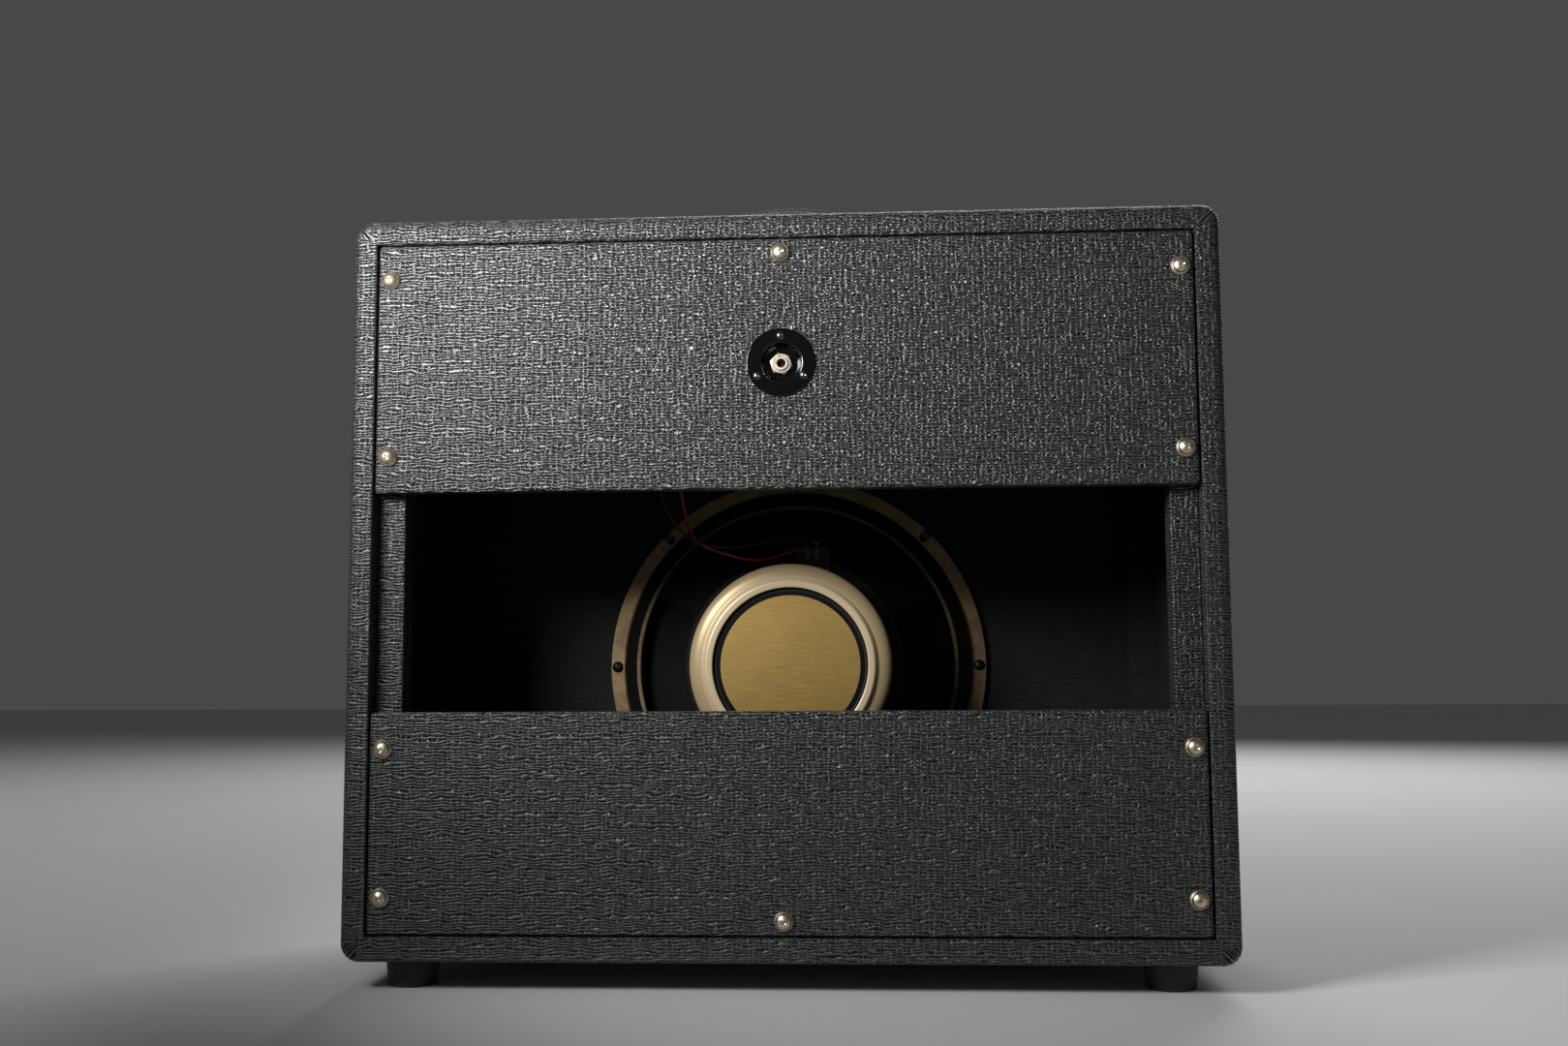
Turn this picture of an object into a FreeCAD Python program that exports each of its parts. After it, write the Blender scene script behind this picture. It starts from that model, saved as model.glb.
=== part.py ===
import FreeCAD
import Part
import math
import os

from FreeCAD import Vector

# Open-back guitar speaker cabinet with one twelve inch loudspeaker.
# Millimetres. X runs across, Y from the front grille (minus) to the open back (plus), Z up.
# The origin is on the floor, under the middle of the cabinet.
# Left and right are as seen from the front: left is minus X.

# Cabinet
cabinet_width = 612.0
cabinet_height = 520.0
cabinet_depth = 266.0
board_thickness = 17.0
covering_thickness = 0.5
corner_radius = 13.0
edge_radius = 8.0
finger_count = 13

# Back panels and the cleats that carry them
panel_thickness = 12.0
panel_gap = 1.2
panel_recess = 1.0
panel_edge_radius = 2.5
panel_return = 25.0
upper_panel_height = 177.0
lower_panel_height = 151.0
cleat_width = 20.0
cleat_depth = 20.0

# Back panel screws in cup washers
panel_screw_side_inset = 9.2
panel_screw_end_inset = 25.0
panel_screw_middle_inset = 10.0
panel_screw_head_radius = 4.3
panel_screw_dome = 1.5
panel_screw_cone_depth = 2.2
panel_screw_radius = 2.0
panel_screw_length = 29.0
cup_radius = 6.4
cup_height = 2.3
cup_hole_radius = 2.3

# Holes and fits
screw_clearance = 0.3
pilot_clearance = 0.05
seat_clearance = 0.1
glue_gap = 0.1
screw_point = 3.0
cross_width = 1.0
cross_depth = 1.6

# Jack plate
jack_plate_radius = 24.3
jack_plate_thickness = 1.2
jack_dish_radius = 14.6
jack_dish_floor_radius = 11.7
jack_dish_depth = 8.0
jack_cutout_clearance = 1.2
jack_screw_circle_radius = 18.8
jack_screw_count = 3
jack_screw_head_radius = 3.0
jack_screw_head_height = 1.8
jack_screw_radius = 1.4
jack_screw_length = 11.0

# Jack
jack_bore_radius = 3.2
jack_bushing_radius = 4.75
jack_bushing_clearance = 0.1
jack_bushing_reach = 1.0
jack_washer_radius = 8.0
jack_washer_thickness = 0.8
jack_nut_flats = 14.0
jack_nut_thickness = 2.6
jack_shoulder_width = 14.0
jack_shoulder_height = 18.0
jack_shoulder_thickness = 2.0
jack_arm_width = 10.0
jack_arm_thickness = 1.0
jack_upper_arm_length = 18.0
jack_lower_arm_length = 28.0
jack_wafer_width = 9.0
jack_wafer_length = 10.0
jack_wafer_thickness = 1.5
jack_wafer_set_back = 3.0
jack_lug_thickness = 0.6
jack_lug_width = 4.0
jack_lug_height = 5.0
jack_lug_reach = 9.0
jack_rivet_radius = 1.2
jack_rivet_head_radius = 2.2
jack_rivet_head_height = 0.7
jack_leaf_width = 5.0
jack_leaf_thickness = 0.5
jack_leaf_run = 12.0
jack_leaf_slope = 9.0
jack_leaf_tail = 4.0
jack_leaf_tail_rise = 3.0
jack_contact_bite = 0.8
jack_leaf_gap = 0.3

# Front: baffle, battens and grille
baffle_thickness = 18.0
baffle_side_clearance = 0.3
baffle_hole_lip = 1.5
batten_width = 20.0
batten_depth = 20.0
baffle_screw_spread = 150.0
baffle_screw_head_radius = 3.8
baffle_screw_cone_depth = 2.4
baffle_screw_radius = 1.9
baffle_screw_length = 32.0
grille_recess = 13.0
grille_frame_thickness = 9.0
grille_border = 38.0
grille_return = 24.0
cloth_thickness = 0.8
piping_diameter = 4.0
piping_clearance = 0.1
piping_corner_radius = 7.0
grille_screw_inset = 31.0
grille_screw_spread = 190.0
grille_screw_head_radius = 3.4
grille_screw_head_height = 2.2
grille_screw_radius = 1.7
grille_screw_length = 25.0

# Loudspeaker frame, measured from the front face of its flange
speaker_batten_gap = 10.0
basket_sheet = 1.5
flange_radius = 154.5
flange_width = 11.5
shoulder_width = 3.0
shoulder_depth = 6.5
rim_width = 11.0
rim_depth = 13.0
shelf_outer_radius = 86.0
shelf_inner_radius = 68.0
shelf_depth = 51.0
basket_foot_radius = 62.0
basket_depth = 76.0
basket_hole_radius = 30.0
arm_count = 4
window_rim_margin = 2.0
window_shelf_margin = 2.0
window_angle = 53.0
window_corner_radius = 8.0
window_corner_land = 0.5
bolt_inset = 5.3
bolt_hole_radius = 2.9
notch_radius = 4.0
gasket_thickness = 4.0
gasket_edge_inset = 0.5

# Moving parts of the loudspeaker
surround_thickness = 0.6
surround_edge_inset = 5.5
surround_outer_land = 7.0
surround_roll_height = 2.4
surround_inner_land = 4.0
surround_cone_gap = 0.4
cone_sheet = 0.9
cone_rim_gap = 2.0
cone_neck_depth = 40.0
dust_cap_radius = 36.0
dust_cap_height = 12.0
dust_cap_sheet = 0.6
former_radius = 22.5
former_wall = 0.3
former_front = 38.5
winding_wall = 0.7
winding_length = 12.0
coil_tail = 1.0
spider_sheet = 0.6
spider_land_radius = 72.0
spider_inner_radius = 27.0
spider_roll_count = 9
spider_roll_height = 1.8
spider_bore_gap = 0.4

# Magnet
pole_radius = 21.2
coil_gap = 0.7
front_plate_radius = 70.0
front_plate_thickness = 8.0
magnet_radius = 73.0
magnet_bore_radius = 29.0
magnet_thickness = 22.0
back_plate_radius = 70.0
back_plate_thickness = 8.0
cover_radius = 77.0
cover_wall = 1.6
cover_skirt = 32.0
cover_crown_radius = 65.0
cover_crown_height = 3.0
cover_crown_slope = 1.5
cover_shoulder_width = 5.0
cover_shoulder_height = 5.0
cover_floor = 2.2
label_radius = 55.8
label_thickness = 0.4

# Terminal board and tinsel leads
terminal_offset = 14.6
terminal_width = 28.0
terminal_inner_radius = 71.0
terminal_outer_radius = 93.5
terminal_thickness = 1.6
tag_spacing = 7.0
tag_width = 3.6
tag_thickness = 0.8
tag_length = 13.0
tag_overhang = 4.5
tinsel_diameter = 1.2
tinsel_inset = 2.0
tinsel_gap = 0.3

# Loudspeaker fixings
speaker_screw_head_radius = 4.6
speaker_screw_head_height = 3.0
speaker_screw_radius = 2.5
speaker_screw_length = 22.0
tee_nut_flange_radius = 9.0
tee_nut_flange_thickness = 1.2
tee_nut_barrel_radius = 3.3
tee_nut_barrel_length = 10.0
tee_nut_clearance = 0.1

# Speaker leads
lead_diameter = 2.2

# Strap handle
strap_width = 26.0
strap_thickness = 5.0
strap_edge_radius = 1.8
strap_rise = 32.0
strap_crown_radius = 170.0
strap_foot_radius = 35.0
strap_tab = 26.0
strap_slot_width = 6.0
strap_slot_length = 12.0
strap_rest_gap = 0.3
handle_lift = 6.0
cap_wall = 1.5
cap_width = 33.0
cap_mouth_overlap = 0.5
cap_end_room = 3.0
cap_edge_radius = 3.0
cap_screw_inset = 15.0
cap_screw_head_radius = 4.2
cap_screw_head_height = 2.8
cap_screw_radius = 2.2
cap_screw_length = 31.0

# Feet
foot_height = 20.0
foot_top_radius = 19.0
foot_sole_radius = 17.0
foot_side_inset = 42.0
foot_end_inset = 38.0
foot_floor = 6.0
foot_well_radius = 8.0
foot_screw_head_radius = 4.5
foot_screw_head_height = 2.8
foot_screw_radius = 2.2
foot_screw_length = 22.0
foot_washer_radius = 7.5
foot_washer_thickness = 1.2

# Places worked out from the sizes
along_x = Vector(1, 0, 0)
along_y = Vector(0, 1, 0)
along_z = Vector(0, 0, 1)
half_width = cabinet_width / 2
rear = cabinet_depth / 2
front = -rear
underside = foot_height
top = underside + cabinet_height
inner_x = half_width - covering_thickness - board_thickness
inner_floor = underside + covering_thickness + board_thickness
inner_ceiling = top - covering_thickness - board_thickness

panel_rear = rear - panel_recess
panel_front = panel_rear - panel_thickness - 2 * covering_thickness
panel_x = inner_x - covering_thickness - panel_gap
upper_panel_top = inner_ceiling - covering_thickness - panel_gap
upper_panel_bottom = upper_panel_top - upper_panel_height
lower_panel_bottom = inner_floor + covering_thickness + panel_gap
lower_panel_top = lower_panel_bottom + lower_panel_height
panel_screw_x = panel_x - panel_screw_side_inset
cleat_inner_x = inner_x - cleat_width

grille_face = front + grille_recess
grille_rear = grille_face + grille_frame_thickness + 2 * cloth_thickness
grille_inset = covering_thickness + piping_diameter + 2 * piping_clearance
grille_x = inner_x - grille_inset
grille_bottom = inner_floor + grille_inset
grille_top = inner_ceiling - grille_inset
grille_corner_radius = piping_corner_radius - piping_diameter / 2 - piping_clearance
baffle_front = grille_rear
baffle_rear = baffle_front + baffle_thickness
batten_inner_x = inner_x - batten_width

axis_z = inner_floor + batten_width + speaker_batten_gap + flange_radius
flange_front = baffle_rear + gasket_thickness + surround_thickness
flange_rear = flange_front + basket_sheet
flange_bend_radius = flange_radius - flange_width
shoulder_radius = flange_bend_radius - shoulder_width
rim_radius = shoulder_radius - rim_width
window_outer_radius = rim_radius - window_rim_margin
window_inner_radius = shelf_outer_radius + window_shelf_margin
bolt_circle_radius = flange_radius - bolt_inset
gasket_outer_radius = flange_radius - gasket_edge_inset
baffle_hole_radius = flange_bend_radius - baffle_hole_lip
surround_outer_radius = flange_radius - surround_edge_inset
surround_roll_radius = surround_outer_radius - surround_outer_land
cone_radius = rim_radius - cone_rim_gap
front_plate_front = flange_front + basket_depth
magnet_front = front_plate_front + front_plate_thickness
back_plate_front = magnet_front + magnet_thickness
back_plate_rear = back_plate_front + back_plate_thickness
cover_front = back_plate_rear + glue_gap
cover_rear = cover_front + cover_floor
coil_bore_radius = former_radius + winding_wall + coil_gap
coil_middle = front_plate_front + front_plate_thickness / 2

jack_z = (upper_panel_top + upper_panel_bottom) / 2
dish_outer_face = panel_rear + jack_plate_thickness - jack_dish_depth
dish_inner_face = dish_outer_face - jack_plate_thickness
jack_cutout_radius = jack_dish_radius + jack_plate_thickness + jack_cutout_clearance
jack_mouth = (dish_outer_face + jack_washer_thickness + jack_nut_thickness
              + jack_bushing_reach)
jack_shoulder_face = dish_inner_face - jack_shoulder_thickness
upper_arm_z = jack_z + jack_shoulder_height / 2
lower_arm_z = jack_z - jack_shoulder_height / 2
wafer_rear = jack_shoulder_face - jack_wafer_set_back
wafer_front = wafer_rear - jack_wafer_length
tip_lug_z = upper_arm_z + jack_wafer_thickness
leaf_root_y = wafer_front - jack_leaf_gap - jack_leaf_thickness / 2
leaf_root_z = tip_lug_z + jack_lug_thickness / 2
leaf_contact_z = jack_z + jack_bore_radius - jack_contact_bite + jack_leaf_thickness / 2

terminal_y = flange_front + shelf_depth + basket_sheet
tag_y = terminal_y + terminal_thickness
tag_end_z = axis_z + terminal_outer_radius + tag_overhang
tag_places = [-terminal_offset + tag_spacing / 2, -terminal_offset - tag_spacing / 2]

strap_z = top + cap_wall + strap_rest_gap
strap_centre_z = strap_z + strap_thickness / 2
strap_run = math.sqrt(2 * strap_rise * (strap_crown_radius + strap_foot_radius) - strap_rise ** 2)
cap_mouth_x = strap_run - cap_mouth_overlap
cap_end_x = strap_run + strap_tab + cap_end_room + cap_wall
cap_height = 2 * cap_wall + 2 * strap_rest_gap + strap_thickness + handle_lift
cap_screw_x = strap_run + cap_screw_inset


def block(x0, x1, y0, y1, z0, z1):
    """A box between the given planes."""
    return Part.makeBox(x1 - x0, y1 - y0, z1 - z0, Vector(x0, y0, z0))


def rod(radius, start, direction, length):
    """A round bar that leaves a point in a direction."""
    return Part.makeCylinder(radius, length, start, direction)


def outline(points, origin, across, along):
    """A wire through flat points; a point with a third value is the middle of an arc."""
    places = [origin + across * point[0] + along * point[1] for point in points]
    edges = []
    index = 0
    while index < len(points) - 1:
        if len(points[index + 1]) == 3:
            edges.append(Part.Arc(places[index], places[index + 1], places[index + 2]).toShape())
            index += 2
        else:
            edges.append(Part.LineSegment(places[index], places[index + 1]).toShape())
            index += 1
    return Part.Wire(edges)


def turned(points, origin, axis):
    """A closed outline of (radius, place) points turned right round an axis."""
    wire = outline(points + [points[0]], origin, along_x, axis)
    return Part.Face(wire).revolve(origin, axis, 360)


def pressed(points, sheet, origin, axis):
    """A sheet turned round an axis; the points run inward along its front face."""
    wire = outline(points, origin, along_x, axis)
    return wire.makeOffset2D(sheet, 2, True, True).revolve(origin, axis, 360)


def ring(outer, inner, origin, axis, length):
    """A flat ring or tube that starts at a point on its axis."""
    return rod(outer, origin, axis, length).cut(rod(inner, origin, axis, length))


def placed(shape, point, direction):
    """A copy of a shape made along Z, moved to a point and turned to a direction."""
    copy = shape.copy()
    copy.Placement = FreeCAD.Placement(point, FreeCAD.Rotation(along_z, direction))
    return copy


def group(shapes):
    """Separate solids that share one node."""
    return Part.makeCompound(shapes)


def cross_recess(head_top, reach):
    """The cross-shaped driver recess of a screw head whose crown is at a height."""
    depth = cross_depth + 1.0
    bottom = head_top - cross_depth
    first = block(-reach, reach, -cross_width / 2, cross_width / 2, bottom, bottom + depth)
    second = block(-cross_width / 2, cross_width / 2, -reach, reach, bottom, bottom + depth)
    return first.fuse(second)


def pan_screw(head_radius, head_height, radius, length):
    """A round-headed screw along Z that seats at zero."""
    profile = [(0, head_height), (head_radius * math.sin(math.pi / 4),
                                  head_height * math.cos(math.pi / 4), "via")]
    profile += [(head_radius, 0), (radius, 0), (radius, screw_point - length), (0, -length)]
    return turned(profile, Vector(0, 0, 0), along_z).cut(cross_recess(head_height, head_radius / 2))


def sunk_screw(head_radius, dome, cone_depth, radius, length):
    """A countersunk screw along Z whose head edge is at zero, with a raised or flat crown."""
    crown_radius = (head_radius ** 2 + dome ** 2) / (2 * dome)
    middle = head_radius / 2
    middle_height = dome - crown_radius + math.sqrt(crown_radius ** 2 - middle ** 2)
    profile = [(0, dome), (middle, middle_height, "via"), (head_radius, 0)]
    profile += [(radius, -cone_depth), (radius, screw_point - length), (0, -length)]
    return turned(profile, Vector(0, 0, 0), along_z).cut(cross_recess(dome, head_radius / 2))


def edges_along(shape, direction):
    """The straight edges of a shape that run along a direction."""
    found = []
    for edge in shape.Edges:
        if isinstance(edge.Curve, Part.Line) and abs(edge.Curve.Direction.dot(direction)) > 0.999:
            found.append(edge)
    return found


def edges_at(shape, y):
    """The edges of a shape that lie in one plane across Y."""
    found = []
    for edge in shape.Edges:
        if abs(edge.BoundBox.YMin - y) < 0.001 and abs(edge.BoundBox.YMax - y) < 0.001:
            found.append(edge)
    return found


# Cabinet shell

def rounded_cabinet(inset):
    """The cabinet's outer form, smaller by an inset on every side."""
    solid = block(inset - half_width, half_width - inset, front + inset, rear - inset,
                  underside + inset, top - inset)
    solid = solid.makeFillet(corner_radius - inset, edges_along(solid, along_y))
    ends = edges_at(solid, front + inset) + edges_at(solid, rear - inset)
    return solid.makeFillet(edge_radius - inset, ends)


def carcass():
    """The four boards as one body, before the corner joints are cut."""
    hollow = block(-inner_x, inner_x, 2 * front, 2 * rear, inner_floor, inner_ceiling)
    return rounded_cabinet(covering_thickness).cut(hollow)


def finger_span(index):
    """Where one finger of the corner joints starts and ends along Y."""
    pitch = (cabinet_depth - 2 * covering_thickness) / finger_count
    start = front + covering_thickness + index * pitch
    return start, start + pitch


def handle_holes(radius):
    """Cutters for the handle screws."""
    depth = 2 * board_thickness
    start = top - depth
    return [rod(radius, Vector(side * cap_screw_x, 0, start), along_z, 2 * depth) for side in (-1, 1)]


def foot_places():
    """The middles of the four feet."""
    x = half_width - foot_side_inset
    y = rear - foot_end_inset
    return [Vector(sx * x, sy * y, 0) for sx in (-1, 1) for sy in (-1, 1)]


def foot_holes(radius):
    """Cutters for the foot screws."""
    return [rod(radius, place, along_z, underside + foot_screw_length) for place in foot_places()]


def level_board(upper):
    """The top or the bottom board, with the corner fingers that it keeps."""
    if upper:
        region = block(-half_width, half_width, front, rear, inner_ceiling, top)
        holes = handle_holes(cap_screw_radius + pilot_clearance)
    else:
        region = block(-half_width, half_width, front, rear, underside, inner_floor)
        holes = foot_holes(foot_screw_radius + pilot_clearance)
    cutters = []
    for index in range(0, finger_count, 2):
        y0, y1 = finger_span(index)
        cutters.append(block(inner_x, half_width, y0, y1, underside, top))
        cutters.append(block(-half_width, -inner_x, y0, y1, underside, top))
    return carcass().common(region).cut(cutters + holes)


def side_board(side):
    """A side board, with the corner fingers that it keeps."""
    x0, x1 = sorted((side * inner_x, side * half_width))
    cutters = []
    for index in range(1, finger_count, 2):
        y0, y1 = finger_span(index)
        cutters.append(block(x0, x1, y0, y1, inner_ceiling, top))
        cutters.append(block(x0, x1, y0, y1, underside, inner_floor))
    return carcass().common(block(x0, x1, front, rear, underside, top)).cut(cutters)


def cabinet_covering():
    """The vinyl on the outside, the edges and the visible inner lips of the boards."""
    lip = covering_thickness
    way_through = block(lip - inner_x, inner_x - lip, 2 * front, 2 * rear,
                        inner_floor + lip, inner_ceiling - lip)
    bare_inside = block(-inner_x, inner_x, baffle_front, panel_front, inner_floor, inner_ceiling)
    holes = handle_holes(cap_screw_radius + screw_clearance)
    holes += foot_holes(foot_screw_radius + screw_clearance)
    return rounded_cabinet(0).cut([carcass(), way_through, bare_inside] + holes)


# Back of the cabinet

def upper_screw_places():
    """Where the upper panel's screws are, as (x, z)."""
    heights = (upper_panel_top - panel_screw_end_inset, upper_panel_bottom + panel_screw_end_inset)
    places = [(side * panel_screw_x, z) for side in (-1, 1) for z in heights]
    return places + [(0, upper_panel_top - panel_screw_middle_inset)]


def lower_screw_places():
    """Where the lower panel's screws are, as (x, z)."""
    heights = (lower_panel_top - panel_screw_end_inset, lower_panel_bottom + panel_screw_end_inset)
    places = [(side * panel_screw_x, z) for side in (-1, 1) for z in heights]
    return places + [(0, lower_panel_bottom + panel_screw_middle_inset)]


def panel_screw_holes(radius):
    """Cutters for all the back panel screws."""
    start = panel_rear - panel_screw_length - cup_height
    length = panel_screw_length + 4 * cup_height
    return [rod(radius, Vector(x, start, z), along_y, length)
            for x, z in upper_screw_places() + lower_screw_places()]


def rear_side_cleats():
    """The two upright cleats that the back panels screw to."""
    face = panel_front - covering_thickness
    solids = []
    for side in (-1, 1):
        x0, x1 = sorted((side * cleat_inner_x, side * inner_x))
        cleat = block(x0, x1, face - cleat_depth, face, inner_floor, inner_ceiling)
        solids.append(cleat.cut(panel_screw_holes(panel_screw_radius + pilot_clearance)))
    return group(solids)


def cleat_coverings():
    """The vinyl strips folded over the visible faces of the upright cleats."""
    face = panel_front - covering_thickness
    solids = []
    for side in (-1, 1):
        x0, x1 = sorted((side * (cleat_inner_x - covering_thickness), side * inner_x))
        wrap = block(x0, x1, face - cleat_depth, panel_front, inner_floor, inner_ceiling)
        x0, x1 = sorted((side * cleat_inner_x, side * inner_x))
        core = block(x0, x1, face - cleat_depth, face, inner_floor, inner_ceiling)
        solids.append(wrap.cut([core] + panel_screw_holes(panel_screw_radius + screw_clearance)))
    return group(solids)


def rear_cross_cleats():
    """The cleats under the top and over the bottom, between the upright ones."""
    x = cleat_inner_x - covering_thickness
    y = panel_front - cleat_depth
    solids = []
    for z0 in (inner_floor, inner_ceiling - cleat_width):
        cleat = block(-x, x, y, panel_front, z0, z0 + cleat_width)
        solids.append(cleat.cut(panel_screw_holes(panel_screw_radius + pilot_clearance)))
    return group(solids)


def panel_form(bottom, ceiling, inset):
    """A back panel's form, smaller by an inset, with its outer edges rounded."""
    solid = block(inset - panel_x, panel_x - inset, panel_front + inset, panel_rear - inset,
                  bottom + inset, ceiling - inset)
    return solid.makeFillet(panel_edge_radius - inset, edges_at(solid, panel_rear - inset))


def panel_cutters(radius):
    """Cutters for the panel screws, the jack dish and the jack plate's screws."""
    start = Vector(0, panel_front - panel_thickness, jack_z)
    dish = rod(jack_cutout_radius, start, along_y, 4 * panel_thickness)
    pilots = [rod(jack_screw_radius + pilot_clearance, Vector(x, panel_rear - jack_screw_length, z),
                  along_y, 2 * jack_screw_length) for x, z in jack_screw_places()]
    return panel_screw_holes(radius) + [dish] + pilots


def back_panel(bottom, ceiling):
    """The plywood of one back panel."""
    form = panel_form(bottom, ceiling, covering_thickness)
    return form.cut(panel_cutters(panel_screw_radius + screw_clearance))


def panel_covering(bottom, ceiling):
    """The vinyl of one back panel, turned over its edges and stuck inside."""
    window = block(panel_return - panel_x, panel_x - panel_return, panel_front,
                   panel_front + covering_thickness, bottom + panel_return, ceiling - panel_return)
    core = panel_form(bottom, ceiling, covering_thickness)
    skin = panel_form(bottom, ceiling, 0).cut([core, window])
    return skin.cut(panel_cutters(panel_screw_radius + screw_clearance))


def cup_washers():
    """The turned cup washers under the panel screws."""
    cone_top = panel_screw_head_radius + seat_clearance
    profile = [(cup_radius, 0), (cup_radius - 0.25 * cup_height, 0.75 * cup_height, "via"),
               (cone_top + 2 * seat_clearance, cup_height), (cone_top, cup_height),
               (cup_hole_radius, cup_height - panel_screw_cone_depth), (cup_hole_radius, 0)]
    washer = turned(profile, Vector(0, 0, 0), along_z)
    return group([placed(washer, Vector(x, panel_rear, z), along_y)
                  for x, z in upper_screw_places() + lower_screw_places()])


def back_panel_screws():
    """The raised countersunk screws of both back panels."""
    screw = sunk_screw(panel_screw_head_radius, panel_screw_dome, panel_screw_cone_depth,
                       panel_screw_radius, panel_screw_length)
    return group([placed(screw, Vector(x, panel_rear + cup_height, z), along_y)
                  for x, z in upper_screw_places() + lower_screw_places()])


# Jack plate and jack

def jack_screw_places():
    """Where the jack plate's screws are, as (x, z), the first at the top."""
    places = []
    for index in range(jack_screw_count):
        angle = 2 * math.pi * index / jack_screw_count
        places.append((jack_screw_circle_radius * math.sin(angle),
                       jack_z + jack_screw_circle_radius * math.cos(angle)))
    return places


def jack_plate():
    """The round plate with a dish for the jack."""
    origin = Vector(0, 0, jack_z)
    hole = jack_bushing_radius + jack_bushing_clearance
    sheet = jack_plate_thickness
    profile = [(jack_plate_radius, panel_rear), (jack_plate_radius - sheet / 2, panel_rear + sheet),
               (jack_dish_radius, panel_rear + sheet), (jack_dish_floor_radius, dish_outer_face),
               (hole, dish_outer_face), (hole, dish_inner_face),
               (jack_dish_floor_radius + sheet, dish_inner_face), (jack_dish_radius + sheet, panel_rear)]
    holes = [rod(jack_screw_radius + screw_clearance, Vector(x, panel_rear - sheet, z), along_y, 4 * sheet)
             for x, z in jack_screw_places()]
    return turned(profile, origin, along_y).cut(holes)


def jack_plate_screws():
    """The small screws that hold the jack plate."""
    screw = pan_screw(jack_screw_head_radius, jack_screw_head_height, jack_screw_radius,
                      jack_screw_length)
    return group([placed(screw, Vector(x, panel_rear + jack_plate_thickness, z), along_y)
                  for x, z in jack_screw_places()])


def jack_body():
    """The threaded bushing, its shoulder and the bent frame that is the sleeve contact."""
    origin = Vector(0, jack_shoulder_face, jack_z)
    shoulder = block(-jack_shoulder_width / 2, jack_shoulder_width / 2, jack_shoulder_face,
                     dish_inner_face, lower_arm_z, upper_arm_z)
    bushing = rod(jack_bushing_radius, origin, along_y, jack_mouth - jack_shoulder_face)
    x = jack_arm_width / 2
    upper_arm = block(-x, x, dish_inner_face - jack_upper_arm_length, dish_inner_face,
                      upper_arm_z - jack_arm_thickness, upper_arm_z)
    lower_arm = block(-x, x, dish_inner_face - jack_lower_arm_length, dish_inner_face,
                      lower_arm_z, lower_arm_z + jack_arm_thickness)
    lug = block(0, jack_lug_reach, wafer_front, wafer_front + jack_lug_width,
                lower_arm_z, lower_arm_z + jack_arm_thickness)
    tab = block(jack_lug_reach - jack_lug_thickness, jack_lug_reach, wafer_front,
                wafer_front + jack_lug_width, lower_arm_z, lower_arm_z + jack_lug_height)
    bore = rod(jack_bore_radius, origin, along_y, jack_mouth - jack_shoulder_face)
    hole = rivet_hole()
    return shoulder.fuse([bushing, upper_arm, lower_arm, lug, tab]).removeSplitter().cut([bore, hole])


def jack_washer():
    """The flat washer under the jack's nut."""
    inner = jack_bushing_radius + jack_bushing_clearance
    return ring(jack_washer_radius, inner, Vector(0, dish_outer_face, jack_z), along_y,
                jack_washer_thickness)


def jack_nut():
    """The hexagon nut on the jack's bushing."""
    y = dish_outer_face + jack_washer_thickness
    corner = jack_nut_flats / math.sqrt(3)
    points = []
    for index in range(7):
        angle = math.pi / 3 * index
        points.append(Vector(corner * math.cos(angle), y, jack_z + corner * math.sin(angle)))
    prism = Part.Face(Part.makePolygon(points)).extrude(along_y * jack_nut_thickness)
    inner = jack_bushing_radius + jack_bushing_clearance
    return prism.cut(rod(inner, Vector(0, y, jack_z), along_y, jack_nut_thickness))


def rivet_hole():
    """The cutter for the rivet through the contact stack."""
    start = Vector(0, (wafer_rear + wafer_front) / 2, upper_arm_z - jack_wafer_length)
    return rod(jack_rivet_radius + pilot_clearance, start, along_z, 3 * jack_wafer_length)


def jack_insulators():
    """The two insulating wafers of the contact stack."""
    x = jack_wafer_width / 2
    solids = []
    for z in (upper_arm_z, tip_lug_z + jack_lug_thickness):
        wafer = block(-x, x, wafer_front, wafer_rear, z, z + jack_wafer_thickness)
        solids.append(wafer.cut(rivet_hole()))
    return group(solids)


def jack_tip_lug():
    """The tip contact's solder lug, clamped between the wafers."""
    x = jack_leaf_width / 2
    strip = block(-x, x, wafer_front, wafer_rear, tip_lug_z, tip_lug_z + jack_lug_thickness)
    arm = block(0, jack_lug_reach, wafer_front, wafer_front + jack_lug_width,
                tip_lug_z, tip_lug_z + jack_lug_thickness)
    tab = block(jack_lug_reach - jack_lug_thickness, jack_lug_reach, wafer_front,
                wafer_front + jack_lug_width, tip_lug_z, tip_lug_z + jack_lug_height)
    return strip.fuse([arm, tab]).removeSplitter().cut(rivet_hole())


def jack_rivet():
    """The rivet that clamps the contact stack to the upper arm."""
    y = (wafer_rear + wafer_front) / 2
    stack_top = tip_lug_z + jack_lug_thickness + jack_wafer_thickness
    stack_bottom = upper_arm_z - jack_arm_thickness
    shank = rod(jack_rivet_radius, Vector(0, y, stack_bottom), along_z, stack_top - stack_bottom)
    upper = rod(jack_rivet_head_radius, Vector(0, y, stack_top), along_z, jack_rivet_head_height)
    lower = rod(jack_rivet_head_radius, Vector(0, y, stack_bottom - jack_rivet_head_height), along_z,
                jack_rivet_head_height)
    return shank.fuse([upper, lower])


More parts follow.
